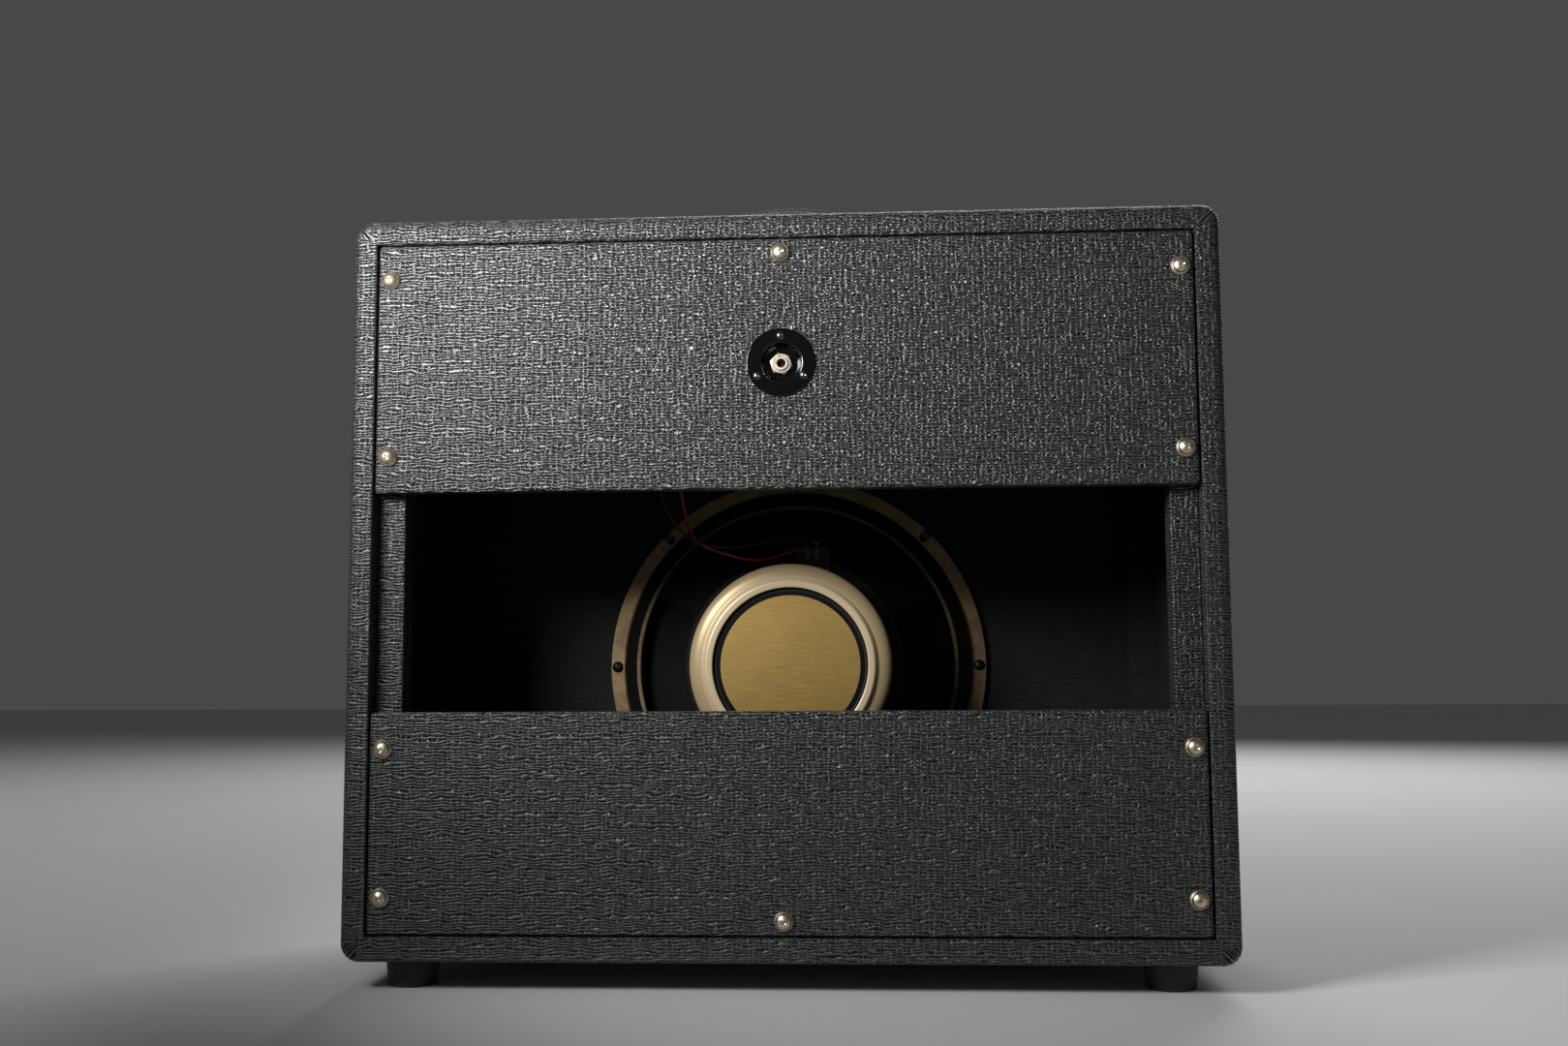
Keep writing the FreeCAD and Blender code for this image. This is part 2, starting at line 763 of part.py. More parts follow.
def jack_tip_spring():
    """The tip contact leaf, with a rounded root where it flexes and a bent contact end."""
    half = jack_leaf_thickness / 2
    bend_y = leaf_root_y - jack_leaf_run
    low_y = bend_y - jack_leaf_slope
    tail_y = low_y - jack_leaf_tail
    low_z = leaf_contact_z
    tail_z = low_z + jack_leaf_tail_rise
    profile = [(leaf_root_y, leaf_root_z - half), (leaf_root_y + half, leaf_root_z, "via"),
               (leaf_root_y, leaf_root_z + half), (bend_y, leaf_root_z + half),
               (low_y, low_z + half), (tail_y, tail_z + half), (tail_y, tail_z - half),
               (low_y, low_z - half),
               (bend_y, leaf_root_z - half)]
    origin = Vector(-jack_leaf_width / 2, 0, 0)
    wire = outline(profile + [profile[0]], origin, along_y, along_z)
    return Part.Face(wire).extrude(along_x * jack_leaf_width)


# Front of the cabinet

def baffle_screw_places():
    """Where the baffle screws are, as (x, z)."""
    x = inner_x - batten_width / 2
    low = inner_floor + batten_width / 2
    high = inner_ceiling - batten_width / 2
    middle = (inner_floor + inner_ceiling) / 2
    sides = [(side * x, middle + step * baffle_screw_spread) for side in (-1, 1) for step in (-1, 1)]
    ends = [(side * baffle_screw_spread, z) for side in (-1, 1) for z in (low, high)]
    return sides + ends


def baffle_screw_holes(radius):
    """Cutters for the screws that hold the baffle to its battens."""
    return [rod(radius, Vector(x, baffle_front, z), along_y, baffle_screw_length)
            for x, z in baffle_screw_places()]


def front_side_battens():
    """The upright battens behind the baffle."""
    solids = []
    for side in (-1, 1):
        x0, x1 = sorted((side * batten_inner_x, side * inner_x))
        batten = block(x0, x1, baffle_rear, baffle_rear + batten_depth, inner_floor, inner_ceiling)
        solids.append(batten.cut(baffle_screw_holes(baffle_screw_radius + pilot_clearance)))
    return group(solids)


def front_cross_battens():
    """The level battens behind the baffle."""
    solids = []
    for z0 in (inner_floor, inner_ceiling - batten_width):
        batten = block(-batten_inner_x, batten_inner_x, baffle_rear, baffle_rear + batten_depth,
                       z0, z0 + batten_width)
        solids.append(batten.cut(baffle_screw_holes(baffle_screw_radius + pilot_clearance)))
    return group(solids)


def bolt_places():
    """Where the loudspeaker's screws are, as (x, z): top, bottom and both sides."""
    places = []
    for index in range(arm_count):
        angle = 2 * math.pi * index / arm_count
        places.append((bolt_circle_radius * math.sin(angle),
                       axis_z + bolt_circle_radius * math.cos(angle)))
    return places


def grille_screw_places():
    """Where the grille screws are, as (x, z)."""
    levels = (inner_floor + grille_screw_inset, inner_ceiling - grille_screw_inset)
    return [(side * grille_screw_spread, z) for side in (-1, 1) for z in levels]


def baffle_board():
    """The plywood baffle that carries the loudspeaker."""
    gap = baffle_side_clearance
    board = block(gap - inner_x, inner_x - gap, baffle_front, baffle_rear,
                  inner_floor + gap, inner_ceiling - gap)
    cutters = [rod(baffle_hole_radius, Vector(0, baffle_front, axis_z), along_y, baffle_thickness)]
    for x, z in bolt_places():
        start = Vector(x, baffle_front, z)
        cutters.append(rod(tee_nut_barrel_radius + tee_nut_clearance, start, along_y, baffle_thickness))
        cutters.append(rod(tee_nut_flange_radius + tee_nut_clearance, start, along_y,
                           tee_nut_flange_thickness))
    for x, z in grille_screw_places():
        cutters.append(rod(grille_screw_radius + screw_clearance, Vector(x, baffle_front, z), along_y,
                           baffle_thickness))
    for x, z in baffle_screw_places():
        seat = Part.makeCone(baffle_screw_head_radius + seat_clearance,
                             baffle_screw_radius + seat_clearance, baffle_screw_cone_depth,
                             Vector(x, baffle_front, z), along_y)
        cutters.append(seat)
    return board.cut(cutters + baffle_screw_holes(baffle_screw_radius + screw_clearance))


def baffle_screws():
    """The flat countersunk screws that hold the baffle to its battens."""
    profile = [(0, 0), (baffle_screw_head_radius, 0), (baffle_screw_radius, -baffle_screw_cone_depth),
               (baffle_screw_radius, screw_point - baffle_screw_length), (0, -baffle_screw_length)]
    screw = turned(profile, Vector(0, 0, 0), along_z)
    screw = screw.cut(cross_recess(0, baffle_screw_head_radius / 2))
    return group([placed(screw, Vector(x, baffle_front, z), -along_y) for x, z in baffle_screw_places()])


def grille_form(inset):
    """The grille's outer form, smaller by an inset, with its corners rounded to suit the piping."""
    solid = block(inset - grille_x, grille_x - inset, grille_face + inset, grille_rear - inset,
                  grille_bottom + inset, grille_top - inset)
    return solid.makeFillet(grille_corner_radius - inset, edges_along(solid, along_y))


def grille_frame():
    """The plywood frame that stretches the grille cloth."""
    frame = grille_form(cloth_thickness)
    opening = block(grille_border - grille_x, grille_x - grille_border, grille_face, grille_rear,
                    grille_bottom + grille_border, grille_top - grille_border)
    holes = [rod(grille_screw_radius + pilot_clearance,
                 Vector(x, baffle_rear - grille_screw_length, z), along_y, grille_screw_length)
             for x, z in grille_screw_places()]
    return frame.cut([opening] + holes)


def grille_cloth():
    """The woven cloth over the grille frame, turned over its edges and held behind."""
    edge = cloth_thickness
    wrap = grille_form(0)
    inside = grille_form(edge)
    window = block(grille_return - grille_x, grille_x - grille_return, grille_rear - edge, grille_rear,
                   grille_bottom + grille_return, grille_top - grille_return)
    holes = [rod(grille_screw_radius + screw_clearance,
                 Vector(x, grille_rear - edge, z), along_y, edge) for x, z in grille_screw_places()]
    return wrap.cut([inside, window] + holes)


def grille_piping():
    """The round piping in the gap between the grille and the cabinet's front lip."""
    radius = piping_diameter / 2
    inset = covering_thickness + piping_clearance + radius
    y = grille_face + radius
    x = inner_x - inset
    low = inner_floor + inset
    high = inner_ceiling - inset
    bend = piping_corner_radius
    slack = bend * (1 - math.cos(math.pi / 4))
    loop = [(-x, low + bend), (-x + slack, low + slack, "via"), (-x + bend, low), (x - bend, low),
            (x - slack, low + slack, "via"), (x, low + bend), (x, high - bend),
            (x - slack, high - slack, "via"), (x - bend, high), (-x + bend, high),
            (-x + slack, high - slack, "via"), (-x, high - bend), (-x, low + bend)]
    path = outline(loop, Vector(0, y, 0), along_x, along_z)
    section = Part.Wire(Part.makeCircle(radius, Vector(-x, y, low + bend), along_z))
    return path.makePipeShell([section], True, False)


def grille_screws():
    """The screws driven from behind the baffle into the grille frame."""
    screw = pan_screw(grille_screw_head_radius, grille_screw_head_height, grille_screw_radius,
                      grille_screw_length)
    return group([placed(screw, Vector(x, baffle_rear, z), along_y) for x, z in grille_screw_places()])


# Loudspeaker

speaker_origin = Vector(0, flange_front, axis_z)


def around_axis(radius, angle, y):
    """A point round the loudspeaker's axis, with the angle counted from the top."""
    return Vector(radius * math.sin(angle), y, axis_z + radius * math.cos(angle))


def window_cutter(angle):
    """The cutter for one window between the arms of the frame."""
    half = math.radians(window_angle) / 2
    y = flange_front
    inner = [around_axis(window_inner_radius, angle + step * half, y) for step in (-1, 0, 1)]
    outer = [around_axis(window_outer_radius, angle + step * half, y) for step in (1, 0, -1)]
    edges = [Part.Arc(inner[0], inner[1], inner[2]).toShape(),
             Part.LineSegment(inner[2], outer[0]).toShape(),
             Part.Arc(outer[0], outer[1], outer[2]).toShape(),
             Part.LineSegment(outer[2], inner[0]).toShape()]
    prism = Part.Face(Part.Wire(edges)).extrude(along_y * basket_depth)
    room = (window_outer_radius - window_inner_radius) / 2 - window_corner_land
    return prism.makeFillet(min(window_corner_radius, room), edges_along(prism, along_y))


def speaker_basket():
    """The pressed steel frame with its windows, bolt holes and open notches."""
    points = [(flange_radius, 0), (flange_bend_radius, 0), (shoulder_radius, shoulder_depth),
              (rim_radius, rim_depth), (shelf_outer_radius, shelf_depth),
              (shelf_inner_radius, shelf_depth), (basket_foot_radius, basket_depth - basket_sheet),
              (basket_hole_radius, basket_depth - basket_sheet)]
    shell = pressed(points, basket_sheet, speaker_origin, along_y)
    cutters = []
    for index in range(arm_count):
        angle = 2 * math.pi * index / arm_count
        cutters.append(window_cutter(angle))
        cutters.append(rod(bolt_hole_radius, around_axis(bolt_circle_radius, angle, flange_front),
                           along_y, basket_sheet))
        notch = block(-notch_radius, notch_radius, flange_front, flange_rear,
                      axis_z + bolt_circle_radius, axis_z + flange_radius + notch_radius)
        notch.rotate(Vector(0, 0, axis_z), along_y, math.degrees(angle) + 180 / arm_count)
        eye = rod(notch_radius, around_axis(bolt_circle_radius, angle + math.pi / arm_count, flange_front),
                  along_y, basket_sheet)
        cutters += [notch, eye]
    return shell.cut(cutters)


def speaker_gasket():
    """The card ring between the flange and the baffle."""
    body = ring(gasket_outer_radius, flange_bend_radius, Vector(0, baffle_rear, axis_z), along_y,
                gasket_thickness)
    holes = [rod(bolt_hole_radius, Vector(x, baffle_rear, z), along_y, gasket_thickness)
             for x, z in bolt_places()]
    return body.cut(holes)


def cone_surround():
    """The rolled edge that carries the cone, held between the gasket and the flange."""
    land = -surround_thickness
    inner = cone_radius + surround_inner_land
    middle = (surround_roll_radius + inner) / 2
    points = [(surround_outer_radius, land), (surround_roll_radius, land),
              ((surround_roll_radius + middle) / 2, land - surround_roll_height, "via"), (middle, land),
              ((middle + inner) / 2, land + surround_roll_height, "via"), (inner, land),
              (cone_radius + surround_cone_gap, land)]
    body = pressed(points, surround_thickness, speaker_origin, along_y)
    holes = [rod(bolt_hole_radius, Vector(x, flange_front - surround_thickness, z), along_y,
                 surround_thickness) for x, z in bolt_places()]
    return body.cut(holes)


def cone_depth_at(radius):
    """How far behind the flange the cone's front face lies at a radius."""
    return cone_neck_depth * (cone_radius - radius) / (cone_radius - former_radius)


def speaker_cone():
    """The paper cone."""
    neck = former_radius + glue_gap
    profile = [(cone_radius, 0), (neck, cone_depth_at(neck)), (neck, cone_depth_at(neck) + cone_sheet),
               (cone_radius, cone_sheet)]
    return turned(profile, speaker_origin, along_y)


def dust_cap():
    """The domed cap over the voice coil."""
    edge = cone_depth_at(dust_cap_radius) - dust_cap_sheet - 2 * glue_gap
    dome = (dust_cap_radius ** 2 + dust_cap_height ** 2) / (2 * dust_cap_height)
    middle = dust_cap_radius / 2
    middle_depth = edge - dust_cap_height + dome - math.sqrt(dome ** 2 - middle ** 2)
    points = [(dust_cap_radius, edge), (middle, middle_depth, "via"), (0, edge - dust_cap_height)]
    return pressed(points, dust_cap_sheet, speaker_origin, along_y)


def coil_former():
    """The thin tube that joins the cone to the voice coil."""
    start = Vector(0, flange_front + former_front, axis_z)
    end = coil_middle + winding_length / 2 + coil_tail
    return ring(former_radius, former_radius - former_wall, start, along_y, end - start.y)


def coil_winding():
    """The wire of the voice coil."""
    start = Vector(0, coil_middle - winding_length / 2, axis_z)
    return ring(former_radius + winding_wall, former_radius, start, along_y, winding_length)


def spider():
    """The corrugated cloth disc that centres the voice coil."""
    level = shelf_depth - spider_sheet
    step = (spider_land_radius - spider_inner_radius) / spider_roll_count
    points = [(shelf_outer_radius - 1, level), (spider_land_radius, level)]
    for index in range(spider_roll_count):
        radius = spider_land_radius - index * step
        side = 1 if index % 2 else -1
        points.append((radius - step / 2, level + side * spider_roll_height, "via"))
        points.append((radius - step, level))
    points.append((former_radius + spider_bore_gap, level))
    return pressed(points, spider_sheet, speaker_origin, along_y)


def magnet_front_plate():
    """The steel ring round the voice coil gap."""
    return ring(front_plate_radius, coil_bore_radius, Vector(0, front_plate_front, axis_z), along_y,
                front_plate_thickness)


def magnet_ring():
    """The ceramic magnet."""
    return ring(magnet_radius, magnet_bore_radius, Vector(0, magnet_front, axis_z), along_y,
                magnet_thickness)


def magnet_back_plate():
    """The steel plate behind the magnet."""
    return rod(back_plate_radius, Vector(0, back_plate_front, axis_z), along_y, back_plate_thickness)


def pole_piece():
    """The steel pole inside the voice coil."""
    start = Vector(0, front_plate_front, axis_z)
    return rod(pole_radius, start, along_y, back_plate_front - front_plate_front)


def magnet_cover():
    """The moulded cover over the magnet, with a raised rear ring round its flat middle."""
    crown = cover_rear + cover_crown_height
    ledge = cover_front + cover_wall
    shoulder = ledge - cover_shoulder_height
    lip = back_plate_rear - cover_skirt
    bore = cover_radius - cover_wall
    slope = cover_crown_slope
    bulge = 1 - math.sqrt(0.5)
    profile = [(0, cover_front), (0, cover_rear), (label_radius + slope, cover_rear),
               (label_radius + 2 * slope, crown), (cover_crown_radius - slope, crown),
               (cover_crown_radius, crown - slope), (cover_crown_radius + slope, ledge),
               (cover_radius - cover_shoulder_width, ledge),
               (cover_radius - cover_shoulder_width * bulge, ledge - cover_shoulder_height * bulge, "via"),
               (cover_radius, shoulder), (cover_radius, lip), (bore, lip), (bore, shoulder),
               (back_plate_radius + glue_gap, cover_front - 2 * slope),
               (back_plate_radius + glue_gap, cover_front)]
    return turned(profile, Vector(0, 0, axis_z), along_y)


def magnet_label():
    """The plain disc stuck in the middle of the cover."""
    return rod(label_radius, Vector(0, cover_rear, axis_z), along_y, label_thickness)


def terminal_board():
    """The insulating board on the frame that carries the solder tags."""
    return block(-terminal_offset - terminal_width / 2, -terminal_offset + terminal_width / 2,
                 terminal_y, tag_y, axis_z + terminal_inner_radius, axis_z + terminal_outer_radius)


def terminal_tags():
    """The two solder tags on the terminal board."""
    return group([block(x - tag_width / 2, x + tag_width / 2, tag_y, tag_y + tag_thickness,
                        tag_end_z - tag_length, tag_end_z) for x in tag_places])


def speaker_screws():
    """The screws through the flange into the baffle."""
    screw = pan_screw(speaker_screw_head_radius, speaker_screw_head_height, speaker_screw_radius,
                      speaker_screw_length)
    return group([placed(screw, Vector(x, flange_rear, z), along_y) for x, z in bolt_places()])


def speaker_tee_nuts():
    """The flanged nuts sunk in the front of the baffle."""
    solids = []
    for x, z in bolt_places():
        start = Vector(x, baffle_front, z)
        flange = rod(tee_nut_flange_radius, start, along_y, tee_nut_flange_thickness)
        barrel = rod(tee_nut_barrel_radius, start, along_y, tee_nut_barrel_length)
        bore = rod(speaker_screw_radius + pilot_clearance, start, along_y, tee_nut_barrel_length)
        solids.append(flange.fuse(barrel).cut(bore))
    return group(solids)


# Wires

def cord(name, points, diameter):
    """A round cord of straight runs joined by tangent arcs, with its length and bends printed."""
    share = 0.45
    edges = []
    radii = []
    start = points[0]
    for before, corner, after in zip(points, points[1:], points[2:]):
        back = (before - corner).normalize()
        ahead = (after - corner).normalize()
        half_turn = (math.pi - back.getAngle(ahead)) / 2
        cut = share * min(before.distanceToPoint(corner), corner.distanceToPoint(after))
        radius = cut / math.tan(half_turn)
        inward = (back + ahead).normalize()
        middle = corner + inward * (radius / math.cos(half_turn) - radius)
        edges.append(Part.LineSegment(start, corner + back * cut).toShape())
        edges.append(Part.Arc(corner + back * cut, middle, corner + ahead * cut).toShape())
        radii.append(radius)
        start = corner + ahead * cut
    edges.append(Part.LineSegment(start, points[-1]).toShape())
    path = Part.Wire(edges)
    heading = points[1] - points[0]
    section = Part.Wire(Part.makeCircle(diameter / 2, points[0], heading))
    tube = path.makePipeShell([section], True, False)
    expected = math.pi * diameter ** 2 / 4 * path.Length
    print(name, "length", round(path.Length, 1), "least bend radius", round(min(radii), 1),
          "volume against section times length", round(tube.Volume / expected, 4))
    return tube


def lead_ends(lug_z, tag_x):
    """Where a lead leaves its jack lug and where it meets its terminal tag."""
    start = Vector(jack_lug_reach, wafer_front + jack_lug_width / 2, lug_z)
    end = Vector(tag_x, tag_y + tag_thickness, tag_end_z - tag_overhang)
    return start, end


def red_lead():
    """The lead from the jack's tip to the first terminal tag."""
    start, end = lead_ends(tip_lug_z + jack_lug_height / 2, tag_places[0])
    points = [start,
              start + Vector(18, 0, 0),
              start + Vector(46, -4, -9),
              start + Vector(66, -15, -34),
              start + Vector(72, -33, -64),
              end + Vector(90.5, 84, 31),
              end + Vector(86, 62, 1),
              end + Vector(62, 42, -8),
              end + Vector(37, 28, -13),
              end + Vector(14, 25, -6),
              end + Vector(0, 16, 0),
              end]
    return cord("red_lead", points, lead_diameter)


def black_lead():
    """The lead from the jack's sleeve to the second terminal tag."""
    start, end = lead_ends(lower_arm_z + jack_lug_height / 2, tag_places[1])
    points = [start,
              start + Vector(18, 0, 0),
              start + Vector(46, -5, -6),
              start + Vector(70, -14, -24),
              start + Vector(86, -28, -50),
              end + Vector(111, 88, 20),
              end + Vector(90, 66, -2),
              end + Vector(62, 48, -4),
              end + Vector(34, 31, 3),
              end + Vector(12, 22, 5),
              end + Vector(0, 13, 0),
              end]
    return cord("black_lead", points, lead_diameter)


def tinsel_leads():
    """The two limp leads from the tags, through the upper window, to the back of the cone."""
    solids = []
    for x in tag_places:
        start = Vector(x, tag_y, tag_end_z - tinsel_inset)
        end_radius = start.z - axis_z - 26
        end_depth = cone_depth_at(math.hypot(end_radius, x)) + cone_sheet + tinsel_gap
        end = Vector(x, flange_front + end_depth + tinsel_diameter, axis_z + end_radius)
        points = [start, start + Vector(0, -9, 0), start + Vector(0, -19, -9), end + Vector(0, 6, 6), end]
        solids.append(cord("tinsel_lead", points, tinsel_diameter))
    return group(solids)


# Handle

def strap_edges(offset):
    """One face of the strap from left to right, at an offset from its lower face."""
    crown = strap_crown_radius + offset
    bend = strap_foot_radius - offset
    base = strap_z + offset
    peak = base + strap_rise
    crown_centre = Vector(0, 0, peak - crown)
    bend_centre = Vector(strap_run, 0, base + bend)
    reach = bend_centre - crown_centre
    meet = crown_centre + reach * (crown / (crown + bend))
    lean = math.atan2(reach.x, reach.z) / 2
    sag = bend_centre + Vector(-bend * math.sin(lean), 0, -bend * math.cos(lean))
    end_x = strap_run + strap_tab
    points = [(-end_x, base), (-strap_run, base), (-sag.x, sag.z, "via"), (-meet.x, meet.z),
              (0, peak, "via"), (meet.x, meet.z), (sag.x, sag.z, "via"), (strap_run, base), (end_x, base)]
    return points


def handle_strap():
    """The arched strap, with a slot at each end for its screw."""
    profile = strap_edges(0) + list(reversed(strap_edges(strap_thickness)))
    origin = Vector(0, -strap_width / 2, 0)
    wire = outline(profile + [profile[0]], origin, along_x, along_z)
    strap = Part.Face(wire).extrude(along_y * strap_width)
    rims = edges_at(strap, -strap_width / 2) + edges_at(strap, strap_width / 2)
    strap = strap.makeFillet(strap_edge_radius, rims)
    cutters = []
    straight = (strap_slot_length - strap_slot_width) / 2
    for side in (-1, 1):
        x = side * cap_screw_x
        for shift in (-straight, straight):
            cutters.append(rod(strap_slot_width / 2, Vector(x + shift, 0, top), along_z, cap_height))
        cutters.append(block(x - straight, x + straight, -strap_slot_width / 2, strap_slot_width / 2,
                             top, top + cap_height))
    return strap.cut(cutters)


def handle_end_caps():
    """The two metal caps that hold the ends of the strap."""
    half = cap_width / 2
    solids = []
    for side in (-1, 1):
        x0, x1 = sorted((side * cap_mouth_x, side * cap_end_x))
        shell = block(x0, x1, -half, half, top, top + cap_height)
        crown = [edge for edge in edges_along(shell, along_x) if edge.BoundBox.ZMin > top]
        shell = shell.makeFillet(cap_edge_radius, crown)
        x0, x1 = sorted((side * (cap_mouth_x - cap_wall), side * (cap_end_x - cap_wall)))
        hollow = block(x0, x1, cap_wall - half, half - cap_wall, top + cap_wall,
                       top + cap_height - cap_wall)
        hollow = hollow.makeFillet(cap_edge_radius - cap_wall,
                                   [edge for edge in edges_along(hollow, along_x)
                                    if edge.BoundBox.ZMin > top + cap_wall])
        hole = rod(cap_screw_radius + screw_clearance, Vector(side * cap_screw_x, 0, top), along_z,
                   cap_height)
        solids.append(shell.cut([hollow, hole]))
    return group(solids)


def handle_screws():
    """The screws through the end caps into the top board."""
    screw = pan_screw(cap_screw_head_radius, cap_screw_head_height, cap_screw_radius, cap_screw_length)
    return group([placed(screw, Vector(side * cap_screw_x, 0, top + cap_height), along_z)
                  for side in (-1, 1)])


# Feet

def feet():
    """The four rubber feet, each with a well for its screw."""
    solids = []
    for place in foot_places():
        profile = [(foot_screw_radius + screw_clearance, foot_height), (foot_top_radius, foot_height),
                   (foot_sole_radius, 0), (foot_well_radius, 0), (foot_well_radius, foot_height - foot_floor),
                   (foot_screw_radius + screw_clearance, foot_height - foot_floor)]
        solids.append(turned(profile, place, along_z))
    return group(solids)


def foot_washers():
    """The washers that spread the load of the foot screws."""
    drop = foot_height - foot_floor - foot_washer_thickness
    return group([ring(foot_washer_radius, foot_screw_radius + screw_clearance,
                       place + along_z * drop, along_z, foot_washer_thickness)
                  for place in foot_places()])


def foot_screws():
    """The screws that hold the feet."""
    screw = pan_screw(foot_screw_head_radius, foot_screw_head_height, foot_screw_radius,
                      foot_screw_length)
    drop = foot_height - foot_floor - foot_washer_thickness
    return group([placed(screw, place + along_z * drop, -along_z) for place in foot_places()])


nodes = {
    "top_board": level_board(True),
    "bottom_board": level_board(False),
    "left_side_board": side_board(-1),
    "right_side_board": side_board(1),
    "cabinet_covering": cabinet_covering(),
    "rear_side_cleats": rear_side_cleats(),
    "cleat_coverings": cleat_coverings(),
    "rear_cross_cleats": rear_cross_cleats(),
    "upper_back_panel": back_panel(upper_panel_bottom, upper_panel_top),
    "upper_panel_covering": panel_covering(upper_panel_bottom, upper_panel_top),
    "lower_back_panel": back_panel(lower_panel_bottom, lower_panel_top),
    "lower_panel_covering": panel_covering(lower_panel_bottom, lower_panel_top),
    "cup_washers": cup_washers(),
    "back_panel_screws": back_panel_screws(),
    "jack_plate": jack_plate(),
    "jack_plate_screws": jack_plate_screws(),
    "jack_body": jack_body(),
    "jack_washer": jack_washer(),
    "jack_nut": jack_nut(),
    "jack_insulators": jack_insulators(),
    "jack_tip_lug": jack_tip_lug(),
    "jack_rivet": jack_rivet(),
    "jack_tip_spring": jack_tip_spring(),
    "front_side_battens": front_side_battens(),
    "front_cross_battens": front_cross_battens(),
    "baffle_board": baffle_board(),
    "baffle_screws": baffle_screws(),
    "grille_frame": grille_frame(),
    "grille_cloth": grille_cloth(),
    "grille_piping": grille_piping(),
    "grille_screws": grille_screws(),
    "speaker_basket": speaker_basket(),
    "speaker_gasket": speaker_gasket(),
    "cone_surround": cone_surround(),
    "speaker_cone": speaker_cone(),
    "dust_cap": dust_cap(),
    "coil_former": coil_former(),
    "coil_winding": coil_winding(),
    "spider": spider(),
    "magnet_front_plate": magnet_front_plate(),
    "magnet_ring": magnet_ring(),
    "magnet_back_plate": magnet_back_plate(),
    "pole_piece": pole_piece(),
    "magnet_cover": magnet_cover(),
    "magnet_label": magnet_label(),
    "terminal_board": terminal_board(),
    "terminal_tags": terminal_tags(),
    "tinsel_leads": tinsel_leads(),
    "speaker_screws": speaker_screws(),
    "speaker_tee_nuts": speaker_tee_nuts(),
    "red_lead": red_lead(),
    "black_lead": black_lead(),
    "handle_strap": handle_strap(),
    "handle_end_caps": handle_end_caps(),
    "handle_screws": handle_screws(),
    "feet": feet(),
    "foot_washers": foot_washers(),
    "foot_screws": foot_screws(),
}

os.makedirs("parts", exist_ok=True)
for name, shape in nodes.items():
    if not shape.isValid():
        print("not valid:", name)
    shape.exportStep("parts/" + name + ".step")
print(len(nodes), "nodes")
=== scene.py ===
"""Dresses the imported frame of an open-back guitar speaker cabinet in its finished looks.

Metres, in the frame of the part: X across, Y from the front grille to the open back, Z up.
"""
import logging
import math
from collections.abc import Callable, Iterable, Sequence
from dataclasses import dataclass
from enum import Enum
from typing import Any

import bmesh
import bpy
from bmesh.types import BMEdge, BMFace, BMVert
from mathutils import Matrix, Vector


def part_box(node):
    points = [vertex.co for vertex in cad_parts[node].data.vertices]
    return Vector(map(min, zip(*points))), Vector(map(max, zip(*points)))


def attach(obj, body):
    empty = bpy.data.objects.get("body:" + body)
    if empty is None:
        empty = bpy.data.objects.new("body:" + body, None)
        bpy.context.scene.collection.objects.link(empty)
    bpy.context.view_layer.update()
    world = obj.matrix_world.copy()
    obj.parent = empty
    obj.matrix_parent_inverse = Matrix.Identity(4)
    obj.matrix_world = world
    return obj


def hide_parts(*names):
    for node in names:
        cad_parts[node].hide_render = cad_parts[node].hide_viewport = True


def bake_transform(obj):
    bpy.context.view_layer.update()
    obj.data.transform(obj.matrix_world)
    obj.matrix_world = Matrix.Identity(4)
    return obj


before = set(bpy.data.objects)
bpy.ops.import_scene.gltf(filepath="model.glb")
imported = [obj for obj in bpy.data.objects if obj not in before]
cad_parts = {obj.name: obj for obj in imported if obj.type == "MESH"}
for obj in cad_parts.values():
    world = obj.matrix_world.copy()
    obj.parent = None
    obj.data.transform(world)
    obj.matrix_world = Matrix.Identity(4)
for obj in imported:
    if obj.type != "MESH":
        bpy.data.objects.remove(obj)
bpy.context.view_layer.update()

log = logging.getLogger("cabinet")

MM = 0.001
WEAVE_MAP = "weave"
# Points closer than TOUCH are one, and NEAR is the slack in a search for a place.
TOUCH = 1e-6
NEAR = 1e-5
# A face looks along an axis where its normal reaches past FACING there.
FACING = 0.9
FLAT_WEIGHT = 80
# Degrees above which an edge stays crisp on hard pieces, on cloth and on round pieces.
CRISP = 38.0
CLOTH_CRISP = 60.0
ROUND_CRISP = 80.0
# How finely a route is drawn along its line and round it, and its spline's order.
ROUTE_STEPS = 12
ROUTE_SIDES = 4
ROUTE_ORDER = 3
Colour = tuple[float, float, float, float]
Point = tuple[float, float]
Point3 = tuple[float, float, float]


class Body(Enum):
    """The bodies that pieces ride on."""

    CABINET = "cabinet"
    CONE = "cone_assembly"
    HANDLE = "handle"


def grey(level: float) -> Colour:
    """An even grey of one linear level."""
    return (level, level, level, 1.0)


def rgb(red: float, green: float, blue: float) -> Colour:
    """An opaque linear colour."""
    return (red, green, blue, 1.0)


# Shader sheets

